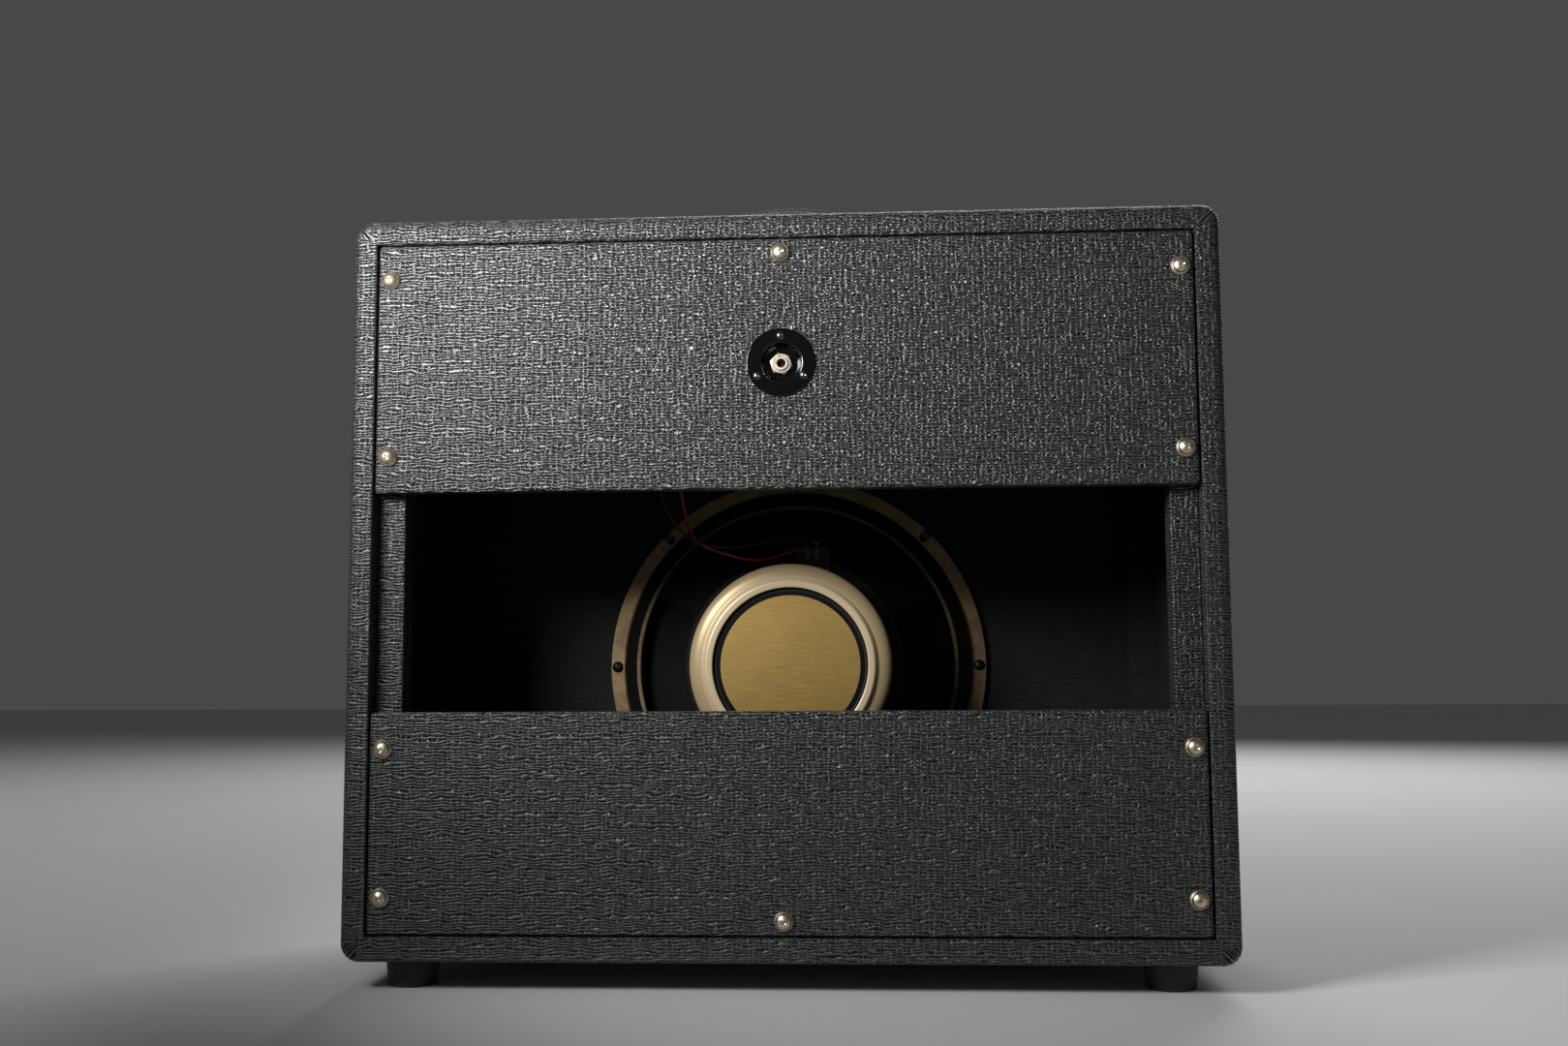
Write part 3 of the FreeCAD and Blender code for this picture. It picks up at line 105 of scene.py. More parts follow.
class Value:
    """An output socket in a node tree; Python's operators on it add Math nodes."""

    def __init__(self, sheet: "NodeSheet", socket: bpy.types.NodeSocket) -> None:
        """Keeps the socket and the sheet that it is on."""
        self.sheet = sheet
        self.socket = socket

    def out(self, name: str) -> "Value":
        """Another output of the same node."""
        return Value(self.sheet, self.socket.node.outputs[name])

    def math(self, operation: str, *others: Any) -> "Value":
        """A Math node whose first input is this value."""
        return self.sheet.math(operation, self, *others)

    def __add__(self, other: Any) -> "Value":
        """This value plus another."""
        return self.math("ADD", other)

    __radd__ = __add__

    def __sub__(self, other: Any) -> "Value":
        """This value less another."""
        return self.math("SUBTRACT", other)

    def __rsub__(self, other: Any) -> "Value":
        """Another value less this one."""
        return self.sheet.math("SUBTRACT", other, self)

    def __mul__(self, other: Any) -> "Value":
        """This value times another."""
        return self.math("MULTIPLY", other)

    __rmul__ = __mul__

    def __truediv__(self, other: Any) -> "Value":
        """This value over another."""
        return self.math("DIVIDE", other)

    def __pow__(self, other: Any) -> "Value":
        """This value to a power."""
        return self.math("POWER", other)

    def floor(self) -> "Value":
        """The whole number below."""
        return self.math("FLOOR")

    def fraction(self) -> "Value":
        """What is left above the whole number."""
        return self.math("FRACT")

    def absolute(self) -> "Value":
        """The value without its sign."""
        return self.math("ABSOLUTE")

    def sine(self) -> "Value":
        """The sine of an angle in radians."""
        return self.math("SINE")

    def root(self) -> "Value":
        """The square root."""
        return self.math("SQRT")

    def at_least(self, least: Any) -> "Value":
        """The larger of this value and another."""
        return self.math("MAXIMUM", least)

    def soft_max(self, other: Any, softness: float) -> "Value":
        """The larger of two values, with the change between them rounded."""
        return self.math("SMOOTH_MAX", other, softness)

    def step(self, low: float, high: float) -> "Value":
        """A smooth rise from 0 at low to 1 at high."""
        return self.sheet.add("ShaderNodeMapRange", {"interpolation_type": "SMOOTHSTEP"},
                              {0: self, 1: low, 2: high, 3: 0.0, 4: 1.0})

    def band(self, low: float, high: float, edge: float) -> "Value":
        """A mask that is 1 between two values and fades over an edge outside them."""
        return self.step(low - edge, low) * (1.0 - self.step(high, high + edge))


class NodeSheet:
    """One material's node tree and the few ways in which it grows."""

    def __init__(self, name: str) -> None:
        """Starts a material with its principled surface.

        Args:
            name: the material's name.
        """
        self.material = bpy.data.materials.new(name)
        self.material.use_nodes = True
        self.nodes = self.material.node_tree.nodes
        self.links = self.material.node_tree.links
        self.principled = self.nodes["Principled BSDF"]

    def add(self, kind: str, settings: dict[str, Any], inputs: dict[Any, Any], output: Any = 0) -> Value:
        """Adds a node.

        Args:
            kind: the node's type.
            settings: its own properties, set before its sockets.
            inputs: values or links by socket name or number.
            output: which output is wanted.
        Returns:
            The wanted output.
        """
        node = self.nodes.new(kind)
        for name, value in settings.items():
            setattr(node, name, value)
        for key, value in inputs.items():
            self.feed(node.inputs[key], value)
        return Value(self, node.outputs[output])

    def feed(self, socket: bpy.types.NodeSocket, value: Any) -> None:
        """Links or sets one input socket.

        Args:
            socket: the input.
            value: a Value to link, or a plain value to set.
        """
        if isinstance(value, Value):
            self.links.new(value.socket, socket)
        else:
            socket.default_value = value

    def math(self, operation: str, *values: Any) -> Value:
        """A Math node on values in order."""
        return self.add("ShaderNodeMath", {"operation": operation}, dict(enumerate(values)))

    def mix(self, factor: Any, first: Any, second: Any) -> Value:
        """A colour between two colours."""
        return self.add("ShaderNodeMix", {"data_type": "RGBA"}, {0: factor, 6: first, 7: second}, 2)

    def join(self, x: Any, y: Any, z: Any = 0.0) -> Value:
        """A vector of three numbers."""
        return self.add("ShaderNodeCombineXYZ", {}, {0: x, 1: y, 2: z})

    def noise(self, place: Value, scale: float, detail: float = 2.0, roughness: float = 0.5) -> Value:
        """Smooth noise of about 0.5.

        Args:
            place: where it is read.
            scale: features per unit of place.
            detail: octaves above the first.
            roughness: how strong the finer octaves are.
        Returns:
            The noise as a number; its colour output is at hand through out().
        """
        return self.add("ShaderNodeTexNoise", {"noise_dimensions": "3D"},
                        {"Vector": place, "Scale": scale, "Detail": detail, "Roughness": roughness})

    def cells(self, place: Value, scale: float) -> Value:
        """The distance to the nearest point of an uneven scatter."""
        return self.add("ShaderNodeTexVoronoi", {"feature": "F1"}, {"Vector": place, "Scale": scale})

    def parts(self, vector: Value) -> tuple[Value, Value, Value]:
        """The three numbers of a vector."""
        split = self.add("ShaderNodeSeparateXYZ", {}, {0: vector})
        return split, split.out("Y"), split.out("Z")

    def place(self) -> Value:
        """Object coordinates in millimetres."""
        raw = self.add("ShaderNodeTexCoord", {}, {}, "Object")
        return self.add("ShaderNodeVectorMath", {"operation": "SCALE"}, {0: raw, 3: 1.0 / MM})

    def flat_place(self) -> tuple[Value, Value]:
        """The two coordinates of the piece's weave map in millimetres."""
        u, v, _ = self.parts(self.add("ShaderNodeUVMap", {"uv_map": WEAVE_MAP}, {}))
        return u * (1.0 / MM), v * (1.0 / MM)

    def stretched(self, place: Value, x: float, y: float, z: float) -> Value:
        """A place with its axes scaled."""
        return self.add("ShaderNodeVectorMath", {"operation": "MULTIPLY"}, {0: place, 1: (x, y, z)})

    def bent(self, place: Value, scale: float, reach: float) -> Value:
        """A place pushed about by smooth noise.

        Args:
            place: the place to push.
            scale: the noise's features per unit of place.
            reach: how far it pushes.
        Returns:
            The pushed place.
        """
        push = self.noise(place, scale, 2.0).out("Color")
        return self.add("ShaderNodeVectorMath", {"operation": "MULTIPLY_ADD"},
                        {0: push, 1: (reach, reach, reach), 2: place})

    def from_axis(self, place: Value, height: float) -> Value:
        """The distance in millimetres from a level axis along Y.

        Args:
            place: where it is read.
            height: the axis's height in metres.
        Returns:
            The distance.
        """
        x, _, z = self.parts(place)
        up = z - height / MM
        return (x * x + up * up).root()

    def relief(self, height: Value, depth: float, strength: float = 1.0) -> Value:
        """A normal from a height of 0 to 1.

        Args:
            height: the height field.
            depth: how many millimetres a height of 1 stands for.
            strength: the share of it that shows.
        Returns:
            The bumped normal.
        """
        return self.add("ShaderNodeBump", {},
                        {"Strength": strength, "Distance": depth * MM, "Height": height})

    def surface(self, **inputs: Any) -> bpy.types.Material:
        """Sets the principled surface.

        Args:
            inputs: values or links by socket name, with _ for a space.
        Returns:
            The material.
        """
        for name, value in inputs.items():
            self.feed(self.principled.inputs[name.replace("_", " ")], value)
        return self.material

    def two_surfaces(self, factor: Value, first: dict[str, Any],
                     second: dict[str, Any]) -> bpy.types.Material:
        """Shows one principled surface through another.

        Args:
            factor: how much of the second shows.
            first: the first surface's inputs.
            second: the second surface's inputs.
        Returns:
            The material.
        """
        self.surface(**first)
        other = self.add("ShaderNodeBsdfPrincipled", {}, second)
        under = Value(self, self.principled.outputs[0])
        mixed = self.add("ShaderNodeMixShader", {}, {0: factor, 1: under, 2: other})
        self.feed(self.nodes["Material Output"].inputs["Surface"], mixed)
        return self.material


# Finishes

@dataclass(frozen=True)
class EmbossedVinyl:
    """Black vinyl with an uneven woven embossing that follows the weave map, and painted shade in the
    hollows between its yarns.
    """

    name: str = "embossed_vinyl"
    hollow_shade: Colour = grey(0.003)
    ridge: Colour = rgb(0.041, 0.0405, 0.0395)
    row_pitch: float = 2.2
    column_pitch: float = 3.7
    drift: float = 6.0
    depth: float = 1.7
    ridge_roughness: float = 0.42

    def yarns(self, sheet: NodeSheet, along: Value, across: Value, pitch: float, seed: float,
              least: float, flatness: float) -> Value:
        """The height of one set of embossed yarns.

        Args:
            sheet: the node sheet.
            along: the coordinate along the yarns.
            across: the coordinate across them.
            pitch: the distance between yarns.
            seed: a number that makes this set unlike another.
            least: the share of its height that a yarn keeps where it dips.
            flatness: how flat the crown of a yarn is.
        Returns:
            A height from 0 to 1.
        """
        sway = sheet.noise(sheet.join(along * 0.075, across * 0.15, seed), 1.0, 1.5, 0.5) - 0.5
        count = (across + sway * self.drift) / pitch
        strand = count.floor()
        offset = (count.fraction() - 0.5).absolute()
        build = sheet.noise(sheet.join(along * 0.13, strand * 3.7, seed), 1.0, 1.0)
        crown = (1.0 - (offset / (build * 0.24 + 0.26)) ** flatness).at_least(0.0)
        lift = sheet.noise(sheet.join(along * 0.24, strand * 7.9, seed + 20.0), 1.0, 1.0).step(0.40, 0.60)
        return crown * (lift * (1.0 - least) + least)

    def make(self) -> bpy.types.Material:
        """Builds the material.

        Returns:
            The material.
        """
        sheet = NodeSheet(self.name)
        u, v = sheet.flat_place()
        spot = sheet.join(u, v)
        rows = self.yarns(sheet, u, v, self.row_pitch, 3.0, 0.70, 3.6)
        columns = self.yarns(sheet, v, u, self.column_pitch, 41.0, 0.45, 1.8)
        weave = rows.soft_max(columns * 0.56, 0.05)
        grain = sheet.noise(spot, 1.9, 2.0)
        slack = sheet.noise(spot, 0.018, 1.0)
        # Where the yarns dip, the near black colour is painted shade in the hollows.
        show = weave.step(0.08, 0.62)
        wear = sheet.noise(spot, 0.03, 2.0)
        normal = sheet.relief(weave + grain * 0.025 + slack * 0.9, self.depth)
        return sheet.two_surfaces(
            show,
            {"Base Color": self.hollow_shade, "Roughness": 0.6, "Specular IOR Level": 0.2, "Normal": normal},
            {"Base Color": self.ridge, "Roughness": self.ridge_roughness + (wear - 0.5) * 0.12,
             "Specular IOR Level": 1.0, "Normal": normal})


@dataclass(frozen=True)
class PlatedMetal:
    """Plated or machined metal with fine scratches and uneven polish."""

    name: str
    colour: Colour
    shade: Colour
    roughness: float
    scratch: float = 0.05
    grain: float = 0.8

    def make(self) -> bpy.types.Material:
        """Builds the material.

        Returns:
            The material.
        """
        sheet = NodeSheet(self.name)
        place = sheet.place()
        cloud = sheet.noise(place, 0.35 * self.grain, 3.0)
        lines = sheet.noise(sheet.stretched(place, 0.4, 6.0, 9.0), self.grain, 2.0)
        tint = (cloud * 0.7 + lines * 0.3).step(0.3, 0.7)
        return sheet.surface(
            Base_Color=sheet.mix(tint, self.shade, self.colour),
            Metallic=1.0,
            Roughness=self.roughness + (cloud - 0.5) * 0.16 + (lines - 0.5) * 0.10,
            Normal=sheet.relief(lines, self.scratch, 0.5))


@dataclass(frozen=True)
class Enamel:
    """Sprayed enamel with faint orange peel and a little dust."""

    name: str
    colour: Colour
    dust: Colour
    roughness: float
    peel: float = 0.05

    def make(self) -> bpy.types.Material:
        """Builds the material.

        Returns:
            The material.
        """
        sheet = NodeSheet(self.name)
        place = sheet.place()
        peel = sheet.noise(place, 0.9, 1.0)
        specks = sheet.noise(place, 2.6, 3.0).step(0.60, 0.76)
        cloud = sheet.noise(place, 0.12, 3.0)
        return sheet.surface(
            Base_Color=sheet.mix(specks * 0.5 + cloud * 0.2, self.colour, self.dust),
            Roughness=self.roughness + (cloud - 0.5) * 0.10 + specks * 0.2,
            Specular_IOR_Level=0.6,
            Normal=sheet.relief(peel, self.peel, 0.5))


@dataclass(frozen=True)
class FrameEnamel:
    """Black stoved enamel on the loudspeaker frame, with bronze lacquer on its flange and a painted
    bronze highlight along its inner lip.
    """

    name: str
    axis_height: float
    rim_radius: float
    lip_radius: float
    black: Colour = grey(0.006)
    # The bronze is the flange's lacquer, and also the painted highlight at the inner lip.
    bronze: Colour = rgb(0.36, 0.255, 0.138)
    worn: Colour = rgb(0.26, 0.18, 0.10)

    def make(self) -> bpy.types.Material:
        """Builds the material.

        Returns:
            The material.
        """
        sheet = NodeSheet(self.name)
        place = sheet.place()
        radius = sheet.from_axis(place, self.axis_height)
        cloud = sheet.noise(place, 0.09, 4.0, 0.6)
        peel = sheet.noise(place, 0.7, 2.0)
        edge = self.rim_radius / MM
        rim = (radius + (cloud - 0.5) * 1.2).step(edge - 0.4, edge + 0.4)
        line = self.lip_radius / MM
        # The band at the inner lip is a painted highlight, not lacquer.
        lip = radius.band(line - 1.4, line + 1.4, 0.4)
        lacquer = sheet.mix(cloud.step(0.35, 0.65), self.worn, self.bronze)
        return sheet.surface(
            Base_Color=sheet.mix(rim.at_least(lip * 0.7), self.black, lacquer),
            Metallic=rim * 0.75,
            Roughness=0.36 + rim * 0.08 + (cloud - 0.5) * 0.2,
            Specular_IOR_Level=0.2,
            Normal=sheet.relief(peel, 0.06, 0.5))


@dataclass(frozen=True)
class MouldedPlastic:
    """Moulded plastic or sheet with a fine skin and slow changes of colour."""

    name: str
    colour: Colour
    shade: Colour
    roughness: float
    skin: float = 0.03
    grain: float = 1.4

    def make(self) -> bpy.types.Material:
        """Builds the material.

        Returns:
            The material.
        """
        sheet = NodeSheet(self.name)
        place = sheet.place()
        cloud = sheet.noise(place, 0.035 * self.grain, 3.0)
        skin = sheet.noise(place, self.grain, 3.0, 0.6)
        tint = (cloud * 0.75 + skin * 0.25).step(0.36, 0.64)
        return sheet.surface(
            Base_Color=sheet.mix(tint, self.shade, self.colour),
            Roughness=self.roughness + (cloud - 0.5) * 0.14 + (skin - 0.5) * 0.08,
            Normal=sheet.relief(skin, self.skin, 0.6))


@dataclass(frozen=True)
class PaintedWood:
    """Plywood or softwood under thin matt black paint that lets the grain show."""

    name: str = "painted_wood"
    paint: Colour = grey(0.003)
    thin: Colour = rgb(0.012, 0.0105, 0.0095)

    def make(self) -> bpy.types.Material:
        """Builds the material.

        Returns:
            The material.
        """
        sheet = NodeSheet(self.name)
        place = sheet.place()
        bent = sheet.bent(place, 0.02, 9.0)
        grain = sheet.noise(sheet.stretched(bent, 0.05, 0.9, 0.9), 1.0, 4.0, 0.62)
        pores = sheet.noise(sheet.stretched(place, 0.18, 2.6, 2.6), 1.0, 2.0).step(0.58, 0.70)
        return sheet.surface(
            Base_Color=sheet.mix(grain.step(0.42, 0.68), self.paint, self.thin),
            Roughness=0.66 + (grain - 0.5) * 0.3 + pores * 0.12,
            Specular_IOR_Level=0.35,
            Normal=sheet.relief(grain * 0.6 - pores * 0.4, 0.22))


@dataclass(frozen=True)
class FeltedSheet:
    """Paper, card or doped cloth: short fibres pressed into a sheet."""

    name: str
    colour: Colour
    shade: Colour
    roughness: float = 0.8
    fibre: float = 1.1
    depth: float = 0.18

    def make(self) -> bpy.types.Material:
        """Builds the material.

        Returns:
            The material.
        """
        sheet = NodeSheet(self.name)
        place = sheet.place()
        long = sheet.noise(sheet.stretched(place, 0.3, 1.6, 1.6), self.fibre, 3.0, 0.65)
        short = sheet.noise(sheet.stretched(place, 1.6, 1.6, 0.3), self.fibre, 3.0, 0.65)
        fibres = long.soft_max(short, 0.1)
        cloud = sheet.noise(place, 0.05, 2.0)
        return sheet.surface(
            Base_Color=sheet.mix((fibres * 0.7 + cloud * 0.3).step(0.38, 0.66), self.shade, self.colour),
            Roughness=self.roughness + (fibres - 0.5) * 0.2,
            Specular_IOR_Level=0.15,
            Normal=sheet.relief(fibres, self.depth))


@dataclass(frozen=True)
class GrilleWeave:
    """Coarse grille cloth of black and pale yarns, in a plain weave on the weave map, with painted shade
    where each yarn dips at its edges.
    """

    name: str = "grille_weave"
    dark: Colour = grey(0.014)
    pale: Colour = rgb(0.34, 0.32, 0.28)
    pitch: float = 1.5
    pale_share: float = 0.60

    def make(self) -> bpy.types.Material:
        """Builds the material.

        Returns:
            The material.
        """
        sheet = NodeSheet(self.name)
        u, v = sheet.flat_place()
        sway = sheet.noise(sheet.join(u, v), 0.08, 1.0) - 0.5
        across = (u + sway * 0.5) / self.pitch
        down = (v + sway * 0.5) / self.pitch
        turn = across.floor() + down.floor()
        over = (turn * 0.5).fraction().step(0.2, 0.3)
        arch_u = ((across.fraction() - 0.5) * math.pi).math("COSINE")
        arch_v = ((down.fraction() - 0.5) * math.pi).math("COSINE")
        weft = arch_v * (arch_u * 0.6 + 0.4)
        warp = arch_u * (arch_v * 0.6 + 0.4)
        height = over * weft + (1.0 - over) * warp
        weft_mix = sheet.noise(sheet.join(across * 0.22, down.floor() * 5.3), 1.0, 1.0)
        warp_mix = sheet.noise(sheet.join(down * 0.22, across.floor() * 5.3 + 90.0), 1.0, 1.0)
        speckle = (over * weft_mix + (1.0 - over) * warp_mix).step(self.pale_share - 0.1, self.pale_share)
        fuzz = sheet.noise(sheet.join(u, v), 4.0, 2.0)
        tone = sheet.mix(speckle * (fuzz * 0.6 + 0.5), self.dark, self.pale)
        return sheet.surface(
            # Each yarn fades to the black yarn colour at its low edges: painted shade.
            Base_Color=sheet.mix(height.step(0.0, 0.5), self.dark, tone),
            Roughness=0.72 + (fuzz - 0.5) * 0.2,
            Normal=sheet.relief(height + fuzz * 0.15, 0.4))


@dataclass(frozen=True)
class FoilDisc:
    """A bare gold foil disc with fine brushing and a plain black border."""

    name: str
    axis_height: float
    gold: Colour = rgb(0.60, 0.405, 0.135)
    deep: Colour = rgb(0.43, 0.275, 0.085)
    black: Colour = grey(0.005)
    border: float = 52.6

    def make(self) -> bpy.types.Material:
        """Builds the material.

        Returns:
            The material.
        """
        sheet = NodeSheet(self.name)
        place = sheet.place()
        radius = sheet.from_axis(place, self.axis_height)
        brush = sheet.noise(sheet.stretched(place, 0.05, 1.0, 4.5), 1.0, 3.0, 0.6)
        cloud = sheet.noise(place, 0.06, 3.0)
        ink = radius.step(self.border - 0.12, self.border + 0.12)
        foil = sheet.mix((brush * 0.8 + cloud * 0.2).step(0.25, 0.70), self.deep, self.gold)
        return sheet.surface(
            Base_Color=sheet.mix(ink, foil, self.black),
            Metallic=(1.0 - ink) * 0.85,
            Roughness=0.40 + (brush - 0.5) * 0.16,
            Specular_IOR_Level=0.1,
            Normal=sheet.relief(brush, 0.03, 0.5))


@dataclass(frozen=True)
class CoverLacquer:
    """Cream lacquer on the spun magnet cover, with a light brown painted as shade on its shoulder and
    near black painted as shade in its groove.
    """

    name: str
    axis_height: float
    ring_radius: float
    groove_radius: float
    cream: Colour = rgb(0.62, 0.50, 0.315)
    tan: Colour = rgb(0.40, 0.305, 0.165)
    shadow: Colour = grey(0.006)
    dull: float = 0.14

    def make(self) -> bpy.types.Material:
        """Builds the material.

        Returns:
            The material.
        """
        sheet = NodeSheet(self.name)
        place = sheet.place()
        _, y, _ = sheet.parts(place)
        radius = sheet.from_axis(place, self.axis_height)
        spun = sheet.noise(sheet.join(radius * 1.6, y * 1.6), 1.0, 3.0, 0.6)
        cloud = sheet.noise(place, 0.05, 3.0)
        edge = self.ring_radius / MM
        # The light brown on the shoulder is painted shade; the same colour also comes in at random as
        # dull wear.
        shoulder = (radius + (cloud - 0.5) * 0.8).step(edge - 0.6, edge + 1.6)
        tone = sheet.mix(shoulder, self.cream, self.tan)
        worn = sheet.mix((spun * 0.5 + cloud * 0.5).step(0.35, 0.75) * self.dull, tone, self.tan)
        # Inside the groove's radius the near black colour is painted shade.
        rim = self.groove_radius / MM
        raised = radius.step(rim - 0.2, rim + 0.2)
        return sheet.surface(
            Base_Color=sheet.mix(raised, self.shadow, worn),
            Metallic=raised * 0.25,
            Roughness=0.70 - raised * 0.34 + (spun - 0.5) * 0.12 + (cloud - 0.5) * 0.10,
            Specular_IOR_Level=0.3,
            Normal=sheet.relief(spun, 0.03, 0.4))


@dataclass(frozen=True)
class GrainedSkin:
    """Rubber or strap leather with a pebbled grain, darker in the creases between pebbles as painted
    shade.
    """

    name: str
    colour: Colour
    crease: Colour
    roughness: float
    pebble: float = 1.2
    depth: float = 0.16

    def make(self) -> bpy.types.Material:
        """Builds the material.

        Returns:
            The material.
        """
        sheet = NodeSheet(self.name)
        place = sheet.place()
        pebbles = 1.0 - sheet.cells(sheet.bent(place, 0.4, 1.2), self.pebble).step(0.2, 0.9)
        fine = sheet.noise(place, 3.2, 2.0)
        wear = sheet.noise(place, 0.05, 3.0)
        return sheet.surface(
            # The darker colour is painted shade in the creases between pebbles, mixed at random with
            # wear.
            Base_Color=sheet.mix(pebbles * 0.8 + wear * 0.2, self.crease, self.colour),
            Roughness=self.roughness - pebbles * 0.08 + (wear - 0.5) * 0.14,
            Normal=sheet.relief(pebbles + fine * 0.2, self.depth))


@dataclass(frozen=True)
class WoundWire:
    """Enamelled wire laid side by side round the loudspeaker's axis, darker in the grooves between turns
    as painted shade.
    """

    name: str = "wound_wire"
    crown: Colour = rgb(0.62, 0.24, 0.09)
    groove: Colour = rgb(0.20, 0.06, 0.02)
    pitch: float = 0.4

    def make(self) -> bpy.types.Material:
        """Builds the material.

        Returns:
            The material.
        """
        sheet = NodeSheet(self.name)
        place = sheet.place()
        _, y, _ = sheet.parts(place)
        # Between turns the colour goes dark: painted shade.
        wire = (y * (math.pi / self.pitch)).sine().absolute()
        cloud = sheet.noise(place, 0.4, 2.0)
        return sheet.surface(
            Base_Color=sheet.mix(wire, self.groove, self.crown),
            Metallic=0.9,
            Roughness=0.34 + (cloud - 0.5) * 0.15,
            Normal=sheet.relief(wire, 0.12))


@dataclass(frozen=True)
class StudioPaper:
    """The pale seamless paper that the cabinet stands on."""

    name: str = "studio_paper"
    colour: Colour = rgb(0.72, 0.715, 0.705)
    shade: Colour = rgb(0.69, 0.685, 0.675)

    def make(self) -> bpy.types.Material:
        """Builds the material.

        Returns:
            The material.
        """
        sheet = NodeSheet(self.name)
        place = sheet.place()
        cloud = sheet.noise(place, 0.004, 3.0)
        tooth = sheet.noise(place, 0.9, 2.0)
        return sheet.surface(
            Base_Color=sheet.mix(cloud, self.shade, self.colour),
            Roughness=0.85 + (tooth - 0.5) * 0.1,
            Specular_IOR_Level=0.2,
            Normal=sheet.relief(tooth, 0.05, 0.4))


# Mesh work

def facing_rear(place: Vector, turn: float = 0.0) -> Matrix:
    """Puts a piece made round Z at a place, with its top to the rear.

    Args:
        place: where the piece's origin goes.
        turn: its turn about its own axis, in degrees.
    Returns:
        The matrix that does it.
    """
    spun = Matrix.Rotation(math.radians(turn), 4, "Z")
    return Matrix.Translation(place) @ Matrix.Rotation(math.radians(-90), 4, "X") @ spun


def middle_of(node: str) -> Vector:
    """The middle of a node's box."""
    low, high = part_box(node)
    return (low + high) / 2


def put_in_scene(name: str, data: bpy.types.ID) -> bpy.types.Object:
    """Links a new object into the scene.

    Args:
        name: the object's name.
        data: its mesh, curve, light or camera.
    Returns:
        The object.
    """
    made = bpy.data.objects.new(name, data)
    bpy.context.scene.collection.objects.link(made)
    return made


def points_of(edges: Iterable[BMEdge]) -> list[BMVert]:
    """The points that edges run between, each once."""
    return list(dict.fromkeys(vert for edge in edges for vert in edge.verts))


